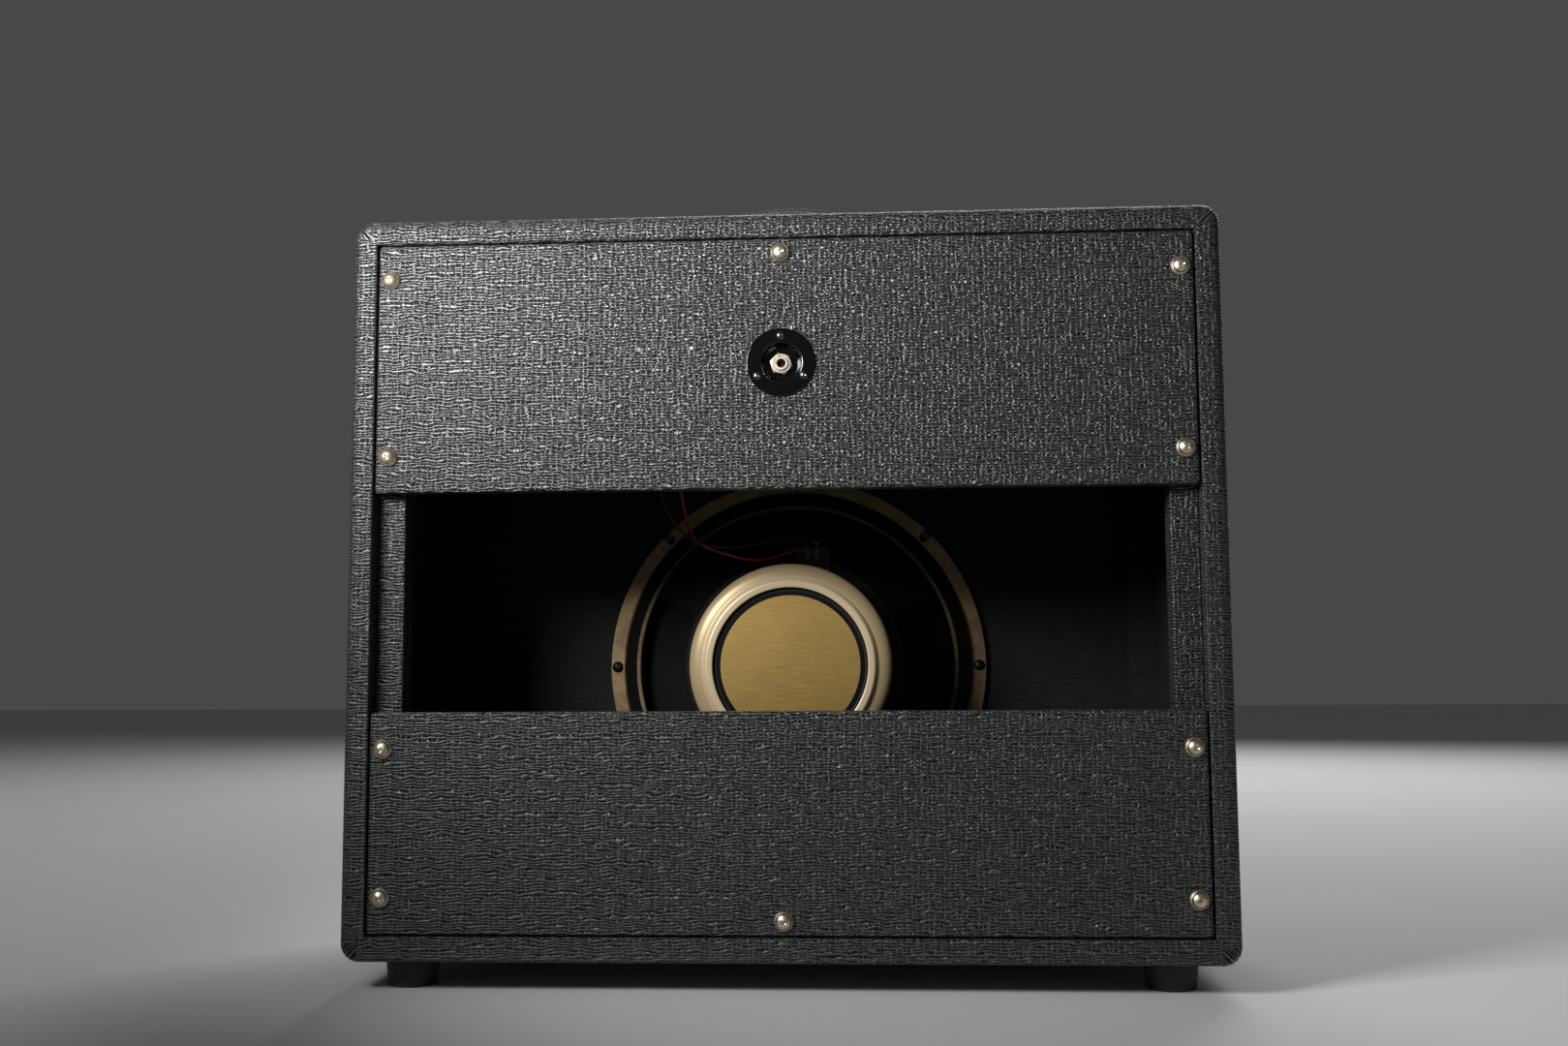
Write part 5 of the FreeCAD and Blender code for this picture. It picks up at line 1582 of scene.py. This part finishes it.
@dataclass
class MagnetDress:
    """The cream cover over the magnet and the foil disc on it."""

    cream: bpy.types.Material
    foil: bpy.types.Material
    crown_radius: float = 65 * MM
    crown_slope: float = 1.5 * MM
    shoulder_height: float = 7 * MM
    ledge_drop: float = 3.6 * MM
    floor_drop: float = 3.0 * MM
    wall: float = 1.6 * MM
    shoulder_steps: int = 6
    edge_radius: float = 0.9 * MM
    least_edge: float = 20.0
    disc_bevel: float = 0.15 * MM
    steps: int = 128

    def build(self) -> None:
        """Makes the cover and the disc."""
        low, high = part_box("magnet_cover")
        centre = Vector((0, 0, middle_of("magnet_cover").z))
        radius = (high.x - low.x) / 2
        crown = high.y
        ledge = crown - self.ledge_drop
        floor = crown - self.floor_drop
        label_low, label_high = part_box("magnet_label")
        label = (label_high.x - label_low.x) / 2
        slope = self.crown_slope
        work = Workpiece()
        width = radius - self.crown_radius - slope
        turns = [index * math.pi / (2 * self.shoulder_steps) for index in range(self.shoulder_steps + 1)]
        shoulder = [(radius - width * (1 - math.cos(turn)),
                     ledge - self.shoulder_height * (1 - math.sin(turn))) for turn in turns]
        work.turn([(radius - self.wall, ledge - 2 * self.shoulder_height), (radius - self.wall, low.y),
                   (radius, low.y), *shoulder,
                   (self.crown_radius, crown - slope), (self.crown_radius - slope, crown),
                   (label + 2 * slope, crown), (label + slope, floor), (0, floor)], self.steps)
        work.soften(self.edge_radius, least=self.least_edge)
        work.shift(facing_rear(centre))
        deliver(work, "cream_magnet_cover", self.cream, "magnet_cover", flat=True)
        disc = Workpiece()
        disc.turn([(label, label_low.y), (label - self.disc_bevel, label_high.y), (0, label_high.y)],
                  self.steps)
        disc.shift(facing_rear(centre))
        deliver(disc, "gold_foil_disc", self.foil, "magnet_label", flat=True)


@dataclass(frozen=True)
class LeadRoute:
    """One lead: what it stands for, its two ends and its points from each end, in millimetres."""

    node: str
    slot: str
    start: Point3
    leaving: tuple[Point3, ...]
    arriving: tuple[Point3, ...]
    end: Point3
    length: float

    def points(self) -> list[Vector]:
        """Finds the route's control points.

        Returns:
            The points in metres.
        """
        start = Vector(self.start)
        end = Vector(self.end)
        first = [start, *(start + Vector(step) for step in self.leaving)]
        last = [*(end + Vector(step) for step in self.arriving), end]
        return [point * MM for point in first + last]


def draw_route(name: str, points: Sequence[Vector], radius: float) -> bpy.types.Object:
    """Draws a NURBS route as a curve.

    Args:
        name: the curve's name.
        points: its control points.
        radius: the radius of its round section, or 0 for a bare line.
    Returns:
        The curve's object.
    """
    curve = bpy.data.curves.new(name, "CURVE")
    curve.dimensions = "3D"
    curve.resolution_u = ROUTE_STEPS
    curve.bevel_depth = radius
    curve.bevel_resolution = ROUTE_SIDES
    curve.use_fill_caps = radius > 0
    spline = curve.splines.new("NURBS")
    spline.points.add(len(points) - 1)
    for spot, point in zip(spline.points, points):
        spot.co = (*point, 1.0)
    spline.order_u = ROUTE_ORDER
    spline.use_endpoint_u = True
    return put_in_scene(name, curve)


@dataclass
class SpeakerLeads:
    """The red and the black lead from the jack to the loudspeaker's tags."""

    red: bpy.types.Material
    black: bpy.types.Material
    diameter: float = 2.2 * MM
    routes: tuple[LeadRoute, ...] = (
        LeadRoute("red_lead", "red_wire", (9, 111, 445.3),
                  ((18, 0, 0), (46, -4, -9), (66, -15, -34), (72, -33, -64)),
                  ((90.5, 84, 31), (86, 62, 1), (62, 42, -8), (37, 28, -13), (14, 25, -6), (0, 16, 0)),
                  (-11.1, -31.9, 315.5), 311.7),
        LeadRoute("black_lead", "black_wire", (9, 111, 425.8),
                  ((18, 0, 0), (46, -5, -6), (70, -14, -24), (86, -28, -50)),
                  ((111, 88, 20), (90, 66, -2), (62, 48, -4), (34, 31, 3), (12, 22, 5), (0, 13, 0)),
                  (-18.1, -31.9, 315.5), 312.6))

    def build(self) -> None:
        """Draws both leads."""
        for route, finish in zip(self.routes, (self.red, self.black)):
            points = route.points()
            piece = draw_route(f"{route.node}_insulation", points, self.diameter / 2)
            piece.data.materials.append(finish)
            settle(piece, Body.CABINET, route.node)


@dataclass(frozen=True)
class WavySheet:
    """A sheet turned round the loudspeaker's axis, waved between its land and its inner radius."""

    name: str
    slot: str
    node: str
    outer: float
    land: float
    inner: float
    bore: float
    half_waves: int
    wave_height: float
    sectors: int
    bend_start: float
    bend_end: float
    wave_steps: int = 8

    def outline(self, level: float) -> list[Point]:
        """Draws the sheet's outline.

        Args:
            level: where its middle plane is.
        Returns:
            Points as (radius, height).
        """
        steps = self.wave_steps * self.half_waves
        span = self.land - self.inner
        waves = [(self.land - span * index / steps,
                  level - self.wave_height * math.sin(math.pi * self.half_waves * index / steps))
                 for index in range(steps + 1)]
        return [(self.outer, level), *waves, (self.bore, level)]


@dataclass
class Suspension:
    """The surround, the spider and the tinsel leads between the frame and the cone."""

    doped: bpy.types.Material
    cloth: bpy.types.Material
    braid: bpy.types.Material
    surround: WavySheet = WavySheet(
        "doped_surround", "doped_cloth", "cone_surround", 149 * MM, 142 * MM, 131 * MM, 127.4 * MM,
        half_waves=2, wave_height=2.4 * MM, sectors=12, bend_start=137 * MM, bend_end=127.4 * MM)
    spider: WavySheet = WavySheet(
        "corrugated_spider", "spider_cloth", "spider", 85 * MM, 72 * MM, 27 * MM, 22.9 * MM,
        half_waves=9, wave_height=1.8 * MM, sectors=8, bend_start=66 * MM, bend_end=27 * MM)
    sheet: float = 0.6 * MM
    steps: int = 96
    tinsel_diameter: float = 1.2 * MM
    tinsel_routes: tuple[LeadRoute, ...] = (
        LeadRoute("tinsel_leads", "copper", (-11.1, -32.7, 318.0), ((0, -9, 0), (0, -19, -9)),
                  ((0, 6, 6),), (-11.1, -62.92, 292.0), 42.5),
        LeadRoute("tinsel_leads", "copper", (-18.1, -32.7, 318.0), ((0, -9, 0), (0, -19, -9)),
                  ((0, 6, 6),), (-18.1, -63.46, 292.0), 42.8))

    def build(self) -> None:
        """Makes the surround, the spider and both tinsel leads."""
        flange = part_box("speaker_basket")[0].y
        self.sectors(self.surround, flange - self.sheet / 2, self.doped)
        self.sectors(self.spider, middle_of("spider").y, self.cloth)
        self.tinsel()

    def sectors(self, wavy: WavySheet, level: float, finish: bpy.types.Material) -> None:
        """Makes a sheet in sectors.

        Args:
            wavy: the sheet.
            level: where its middle plane is.
            finish: its material.
        """
        centre = Vector((0, 0, middle_of("speaker_basket").z))
        count = wavy.sectors
        for index in range(count):
            work = Workpiece()
            work.turn(wavy.outline(level), self.steps // count, angle=2 * math.pi / count)
            work.shift(facing_rear(centre, 360 * index / count))
            piece = work.hand_over(f"{wavy.name}_{index + 1}", finish, CLOTH_CRISP)
            thicken(piece, "sheet", self.sheet, 0.0)
            bridge(piece, wavy.node)
        log.info("%s in %d sectors for %s", wavy.name, count, wavy.node)

    def tinsel(self) -> None:
        """Makes the two braided leads to the cone."""
        for index, route in enumerate(self.tinsel_routes):
            points = route.points()
            name = f"tinsel_braid_{index + 1}"
            bare = draw_route(f"{name}_line", points, 0.0)
            line = bpy.data.meshes.new_from_object(bare)
            thick = draw_route(f"{name}_round", points, self.tinsel_diameter / 2)
            tube = bpy.data.meshes.new_from_object(thick)
            tube.name = name
            for spare in (bare, thick):
                bpy.data.curves.remove(spare.data)
            bpy.data.meshes.remove(line)
            tube.shade_smooth()
            tube.materials.clear()
            tube.materials.append(self.braid)
            piece = put_in_scene(name, tube)
            bridge(piece, route.node)
            log.info("%s from the tag to the cone", name)


@dataclass
class GrilleFront:
    """The grille cloth over its frame and the piping round it."""

    cloth: bpy.types.Material
    cord: bpy.types.Material
    corner_radius: float = 4.9 * MM
    corner_steps: int = 5
    edge_radius: float = 1.6 * MM
    edge_steps: int = 3
    fold_back: float = 24 * MM
    piping_corner: float = 7 * MM
    piping_sides: int = 12
    piping_steps: int = 8

    def build(self) -> None:
        """Makes the cloth and the piping."""
        self.stretch_cloth()
        self.lay_piping()

    def stretch_cloth(self) -> None:
        """Makes the cloth over the frame's front and sides, turned in behind."""
        low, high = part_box("grille_cloth")
        work = Workpiece()
        work.wrap(low, high, -1, (self.corner_radius, self.corner_steps),
                  (self.edge_radius, self.edge_steps), self.fold_back)
        work.lay_weave()
        piece = deliver(work, "stretched_grille_cloth", self.cloth, "grille_cloth",
                        sharp=CLOTH_CRISP, flat=True)

    def lay_piping(self) -> None:
        """Sweeps the piping round the opening."""
        low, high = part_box("grille_piping")
        radius = (high.y - low.y) / 2
        level = (low.y + high.y) / 2
        corner = self.piping_corner
        left, right = low.x + radius + corner, high.x - radius - corner
        bottom, top = low.z + radius + corner, high.z - radius - corner
        across = Vector((0, 1, 0))
        work = Workpiece()
        start = Matrix.Translation((left, level, low.z + radius)) @ Matrix.Rotation(math.pi / 2, 4, "Y")
        edges = work.ring(radius, self.piping_sides, start)
        for way, x, z in ((Vector((right - left, 0, 0)), right, bottom),
                          (Vector((0, 0, top - bottom)), right, top),
                          (Vector((left - right, 0, 0)), left, top),
                          (Vector((0, 0, bottom - top)), left, bottom)):
            edges = work.run(edges, way)
            edges = work.bend(edges, Vector((x, level, z)), across, -math.pi / 2, self.piping_steps)
        work.weld()
        deliver(work, "piping_cord", self.cord, "grille_piping", sharp=ROUND_CRISP)


@dataclass
class CarryHandle:
    """The strap handle with its stitching, end caps and screws."""

    strap: bpy.types.Material
    thread: bpy.types.Material
    nickel: bpy.types.Material
    thickness: float = 5.0 * MM
    edge_radius: float = 1.8 * MM
    edge_steps: int = 4
    least_edge: float = 60.0
    rise: float = 32.0 * MM
    crown_radius: float = 170.0 * MM
    crown_steps: int = 36
    foot_radius: float = 35.0 * MM
    foot_steps: int = 10
    tab: float = 26.0 * MM
    stitch_inset: float = 3.6 * MM
    stitch_length: float = 4.2 * MM
    stitch_pitch: float = 6.0 * MM
    stitch_width: float = 0.9 * MM
    stitch_height: float = 0.8 * MM
    stitch_sink: float = 0.1 * MM
    cap_length: float = 31.0 * MM
    cap_wall: float = 1.5 * MM
    cap_edge: float = 3.0 * MM
    cap_steps: int = 5
    screw_inset: float = 15.5 * MM
    screw_turn: float = 0.4
    screw: CrossScrew = CrossScrew(4.2 * MM, 2.0 * MM, 0.8 * MM)

    def build(self) -> None:
        """Makes the strap, its stitches, the end caps and their screws."""
        self.low, self.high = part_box("handle_strap")
        self.angle = math.acos(1 - self.rise / (self.crown_radius + self.foot_radius))
        self.reach = (self.crown_radius + self.foot_radius) * math.sin(self.angle)
        self.bend_strap()
        self.stitch()
        self.caps()

    def bend_strap(self) -> None:
        """Sweeps the strap from tab to tab."""
        base = self.low.z
        work = Workpiece()
        start = Vector((-self.reach - self.tab, 0, base))
        corners = [(self.low.y, 0.0), (self.high.y, 0.0), (self.high.y, self.thickness),
                   (self.low.y, self.thickness)]
        points = [work.mesh.verts.new(start + Vector((0, y, z))) for y, z in corners]
        first = [work.mesh.edges.new(pair) for pair in zip(points, points[1:] + points[:1])]
        across = Vector((0, 1, 0))
        crown = Vector((0, 0, base + self.rise - self.crown_radius))
        foot = base + self.foot_radius
        edges = work.run(first, Vector((self.tab, 0, 0)))
        edges = work.bend(edges, Vector((-self.reach, 0, foot)), across, -self.angle, self.foot_steps)
        edges = work.bend(edges, crown, across, 2 * self.angle, self.crown_steps)
        edges = work.bend(edges, Vector((self.reach, 0, foot)), across, -self.angle, self.foot_steps)
        last = work.run(edges, Vector((self.tab, 0, 0)))
        for rim in (first, last):
            bmesh.ops.edgeloop_fill(work.mesh, edges=rim)
        work.weld()
        work.soften(self.edge_radius, self.edge_steps, self.least_edge)
        deliver(work, "grained_strap", self.strap, "handle_strap", body=Body.HANDLE)

    def stitch(self) -> None:
        """Sews a row of stitches near each edge of the strap's crown."""
        single = Workpiece()
        bmesh.ops.create_uvsphere(single.mesh, u_segments=8, v_segments=5, radius=1.0)
        half = Vector((self.stitch_length, self.stitch_width, self.stitch_height)) / 2
        bmesh.ops.scale(single.mesh, vec=half, verts=single.mesh.verts[:])
        outer = self.crown_radius + self.thickness
        centre = Vector((0, 0, self.low.z + self.rise - self.crown_radius))
        count = int(outer * self.angle / self.stitch_pitch)
        work = Workpiece()
        for side in (self.low.y + self.stitch_inset, self.high.y - self.stitch_inset):
            for index in range(-count, count + 1):
                turn = Matrix.Rotation(index * self.stitch_pitch / outer, 4, "Y")
                place = Matrix.Translation((0, side, outer - self.stitch_sink))
                work.stamp(single, Matrix.Translation(centre) @ turn @ place)
        deliver(work, "strap_stitches", self.thread, "handle_strap", body=Body.HANDLE,
                sharp=ROUND_CRISP)

    def caps(self) -> None:
        """Makes the two end caps and their screws."""
        low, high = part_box("handle_end_caps")
        caps = Workpiece()
        heads = Workpiece()
        head = self.screw.make()
        for side in (1, -1):
            cap = Workpiece()
            cap.block(Vector((high.x - self.cap_length, low.y, low.z)), high)
            cap.remove(cap.faces_where(lambda face: face.normal.x < -FACING or face.normal.z < -FACING))
            cap.round_over(cap.edges_where(lambda edge: not edge.is_boundary), self.cap_edge,
                           self.cap_steps)
            place = Matrix.Rotation(0.0 if side > 0 else math.pi, 4, "Z")
            caps.stamp(cap, place)
            spot = Matrix.Translation((side * (high.x - self.screw_inset), 0, high.z))
            heads.stamp(head, spot @ Matrix.Rotation(self.screw_turn * side, 4, "Z"))
        piece = deliver(caps, "handle_caps", self.nickel, "handle_end_caps")
        thicken(piece, "wall", self.cap_wall, -1.0)
        deliver(heads, "handle_screw_heads", self.nickel, "handle_screws")


@dataclass
class RubberFeet:
    """The four rubber feet."""

    rubber: bpy.types.Material
    top_radius: float = 19 * MM
    sole_radius: float = 17 * MM
    well_radius: float = 8 * MM
    floor: float = 6 * MM
    edge_radius: float = 1.2 * MM
    least_edge: float = 40.0
    steps: int = 48

    def build(self) -> None:
        """Makes all four feet as one piece."""
        low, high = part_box("feet")
        foot = Workpiece()
        foot.turn([(0, high.z - self.floor), (self.well_radius, high.z - self.floor),
                   (self.well_radius, low.z), (self.sole_radius, low.z), (self.top_radius, high.z),
                   (0, high.z)], self.steps)
        foot.soften(self.edge_radius, least=self.least_edge)
        work = Workpiece()
        for x in (low.x + self.top_radius, high.x - self.top_radius):
            for y in (low.y + self.top_radius, high.y - self.top_radius):
                work.stamp(foot, Matrix.Translation((x, y, 0)))
        deliver(work, "rubber_feet", self.rubber, "feet", flat=True)


@dataclass
class PlainNodes:
    """The pieces whose solids already have their finished shape."""

    finishes: dict[str, bpy.types.Material]

    def build(self) -> None:
        """Gives each solid its finish."""
        for node, finish in self.finishes.items():
            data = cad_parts[node].data
            data.materials.clear()
            data.materials.append(finish)
            log.info("%s dressed in %s", node, finish.name)


@dataclass(frozen=True)
class Softbox:
    """A square studio lamp: where it hangs, what it points at, its side, watts and spread in degrees."""

    name: str
    place: Point3
    aim: Point3
    side: float
    power: float
    spread: float

    def hang(self) -> None:
        """Hangs the lamp."""
        data = bpy.data.lights.new(self.name, "AREA")
        data.shape = "SQUARE"
        data.size = self.side
        data.energy = self.power
        data.spread = math.radians(self.spread)
        lamp = put_in_scene(self.name, data)
        lamp.location = self.place
        lamp.rotation_euler = (Vector(self.aim) - lamp.location).to_track_quat("-Z", "Y").to_euler()
        lamp.visible_camera = False


@dataclass
class Studio:
    """The seamless paper, the lamps, the room light and the camera."""

    paper: bpy.types.Material
    floor_reach: float = 9.0
    lamps: tuple[Softbox, ...] = (
        Softbox("key_softbox", (0.50, 0.65, 0.64), (0.0, 0.135, 0.62), 0.30, 5.6, 110.0),
        Softbox("front_softbox", (-0.6, -2.4, 2.2), (0.0, 0.0, 0.3), 2.4, 62.0, 180.0))
    room_level: float = 0.065
    camera_place: Point3 = (-0.0618, 1.1993, 0.2156)
    camera_aim: Point3 = (-0.0017, 0.133, 0.3194)
    camera_roll: float = -0.306
    lens: float = 35.649
    sensor: float = 36.0
    nearest: float = 0.02

    def build(self) -> None:
        """Sets the whole stage."""
        self.backdrop()
        for lamp in self.lamps:
            lamp.hang()
        self.room()
        self.camera()
        bpy.context.scene.view_settings.view_transform = "Standard"

    def backdrop(self) -> None:
        """Makes the paper as a wide flat floor."""
        work = Workpiece()
        bmesh.ops.create_grid(work.mesh, x_segments=1, y_segments=1, size=self.floor_reach)
        work.hand_over("seamless_paper", self.paper)

    def room(self) -> None:
        """Sets an even grey room light."""
        world = bpy.data.worlds.new("studio_room")
        world.use_nodes = True
        sky = world.node_tree.nodes["Background"]
        sky.inputs["Color"].default_value = grey(1.0)
        sky.inputs["Strength"].default_value = self.room_level
        bpy.context.scene.world = world

    def camera(self) -> None:
        """Sets up the camera where the photograph was taken."""
        data = bpy.data.cameras.new("rear_view")
        data.lens = self.lens
        data.sensor_width = self.sensor
        data.sensor_fit = "HORIZONTAL"
        data.clip_start = self.nearest
        camera = put_in_scene("rear_view", data)
        camera.location = self.camera_place
        look = (Vector(self.camera_aim) - camera.location).to_track_quat("-Z", "Y")
        roll = Matrix.Rotation(math.radians(self.camera_roll), 3, "Z").to_quaternion()
        camera.rotation_euler = (look @ roll).to_euler()
        bpy.context.scene.camera = camera


def write_sizes() -> None:
    """Updates the view layer."""
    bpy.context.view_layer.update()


def main() -> None:
    """Builds the finishes, then the sub-assemblies in order, then the studio."""
    logging.basicConfig(level=logging.INFO, format="%(name)s: %(message)s")
    axis = middle_of("speaker_basket").z
    vinyl = EmbossedVinyl().make()
    nickel = PlatedMetal("warm_nickel", rgb(0.90, 0.82, 0.68), rgb(0.72, 0.63, 0.50), 0.40).make()
    satin = PlatedMetal("satin_nickel", rgb(0.82, 0.74, 0.61), rgb(0.62, 0.53, 0.41), 0.42).make()
    zinc = PlatedMetal("zinc_plate", rgb(0.56, 0.57, 0.58), rgb(0.38, 0.38, 0.38), 0.38).make()
    # The tin-coated tags, lug and rivet are darkened far below bare tin: painted shade.
    tin_in_shade = PlatedMetal("tinned_brass_darkened_as_shade", rgb(0.17, 0.16, 0.145), rgb(0.10, 0.092, 0.08), 0.46).make()
    bronze = PlatedMetal("spring_bronze", rgb(0.62, 0.42, 0.20), rgb(0.42, 0.26, 0.11), 0.30).make()
    steel = PlatedMetal("turned_steel", rgb(0.42, 0.41, 0.40), rgb(0.26, 0.25, 0.24), 0.34).make()
    braid = PlatedMetal("tinsel_braid", rgb(0.66, 0.36, 0.16), rgb(0.40, 0.18, 0.07), 0.38, 0.2,
                        2.4).make()
    black_plate = Enamel("black_plate", grey(0.0014), grey(0.0036), 0.11).make()
    dark_screw = PlatedMetal("blackened_screw", grey(0.20), grey(0.08), 0.26).make()
    # The loudspeaker's screws are near black metal for the shade they sit in: painted shade.
    screw_in_shade = PlatedMetal("screw_darkened_as_shade", grey(0.07), grey(0.03), 0.45).make()
    basket = FrameEnamel("frame_enamel", axis, 143 * MM, 130 * MM).make()
    wood = PaintedWood().make()
    # The fibre board and insulators are darkened to half their brown: painted shade.
    fibre = MouldedPlastic("fibre_board_darkened_as_shade", rgb(0.045, 0.027, 0.015), rgb(0.027, 0.016, 0.009), 0.55).make()
    ferrite = MouldedPlastic("ferrite", grey(0.030), grey(0.016), 0.55, 0.08).make()
    film = MouldedPlastic("former_film", rgb(0.46, 0.26, 0.09), rgb(0.32, 0.17, 0.05), 0.30).make()
    cream = CoverLacquer("cream_cover", axis, 66.5 * MM, 58.6 * MM).make()
    red = MouldedPlastic("red_insulation", rgb(0.30, 0.008, 0.012), rgb(0.20, 0.005, 0.008), 0.42).make()
    black = MouldedPlastic("black_insulation", grey(0.006), grey(0.003), 0.55).make()
    cone = FeltedSheet("cone_paper", grey(0.006), grey(0.003)).make()
    card = FeltedSheet("gasket_card", rgb(0.16, 0.13, 0.10), rgb(0.10, 0.08, 0.06)).make()
    doped = FeltedSheet("doped_cloth", grey(0.020), grey(0.010), 0.5, 1.4, 0.10).make()
    spider = FeltedSheet("spider_cloth", rgb(0.42, 0.29, 0.13), rgb(0.28, 0.18, 0.07), 0.75, 1.6).make()
    piping = FeltedSheet("piping_cloth", rgb(0.66, 0.62, 0.52), rgb(0.52, 0.48, 0.39), 0.7, 1.6,
                         0.10).make()
    thread = FeltedSheet("black_thread", grey(0.030), grey(0.014), 0.6, 2.0, 0.08).make()
    foil = FoilDisc("gold_foil", axis).make()
    strap = GrainedSkin("strap_leather", grey(0.022), grey(0.008), 0.48).make()
    rubber = GrainedSkin("foot_rubber", grey(0.020), grey(0.012), 0.66, 2.4, 0.05).make()
    copper = WoundWire().make()
    paper = StudioPaper().make()
    plain = {
        wood: ("top_board", "bottom_board", "left_side_board", "right_side_board", "upper_back_panel",
               "lower_back_panel", "rear_side_cleats", "rear_cross_cleats", "front_side_battens",
               "front_cross_battens", "baffle_board", "grille_frame"),
        zinc: ("baffle_screws", "grille_screws", "speaker_tee_nuts", "foot_washers", "foot_screws"),
        nickel: ("jack_body",), screw_in_shade: ("speaker_screws",), fibre: ("jack_insulators", "terminal_board"),
        tin_in_shade: ("jack_tip_lug", "jack_rivet", "terminal_tags"), bronze: ("jack_tip_spring",),
        basket: ("speaker_basket",), card: ("speaker_gasket",), cone: ("speaker_cone", "dust_cap"),
        film: ("coil_former",), copper: ("coil_winding",), ferrite: ("magnet_ring",),
        steel: ("magnet_front_plate", "magnet_back_plate", "pole_piece")}
    finishes = {node: finish for finish, nodes in plain.items() for node in nodes}
    sub_assemblies = (
        SpeakerLeads(red, black), CabinetShell(vinyl), BackPanels(vinyl, satin), RearCleats(vinyl),
        JackSet(black_plate, dark_screw, nickel), MagnetDress(cream, foil),
        Suspension(doped, spider, braid), GrilleFront(GrilleWeave().make(), piping),
        CarryHandle(strap, thread, nickel), RubberFeet(rubber), PlainNodes(finishes), Studio(paper))
    for sub_assembly in sub_assemblies:
        sub_assembly.build()
    write_sizes()


if __name__ == "__main__":
    main()
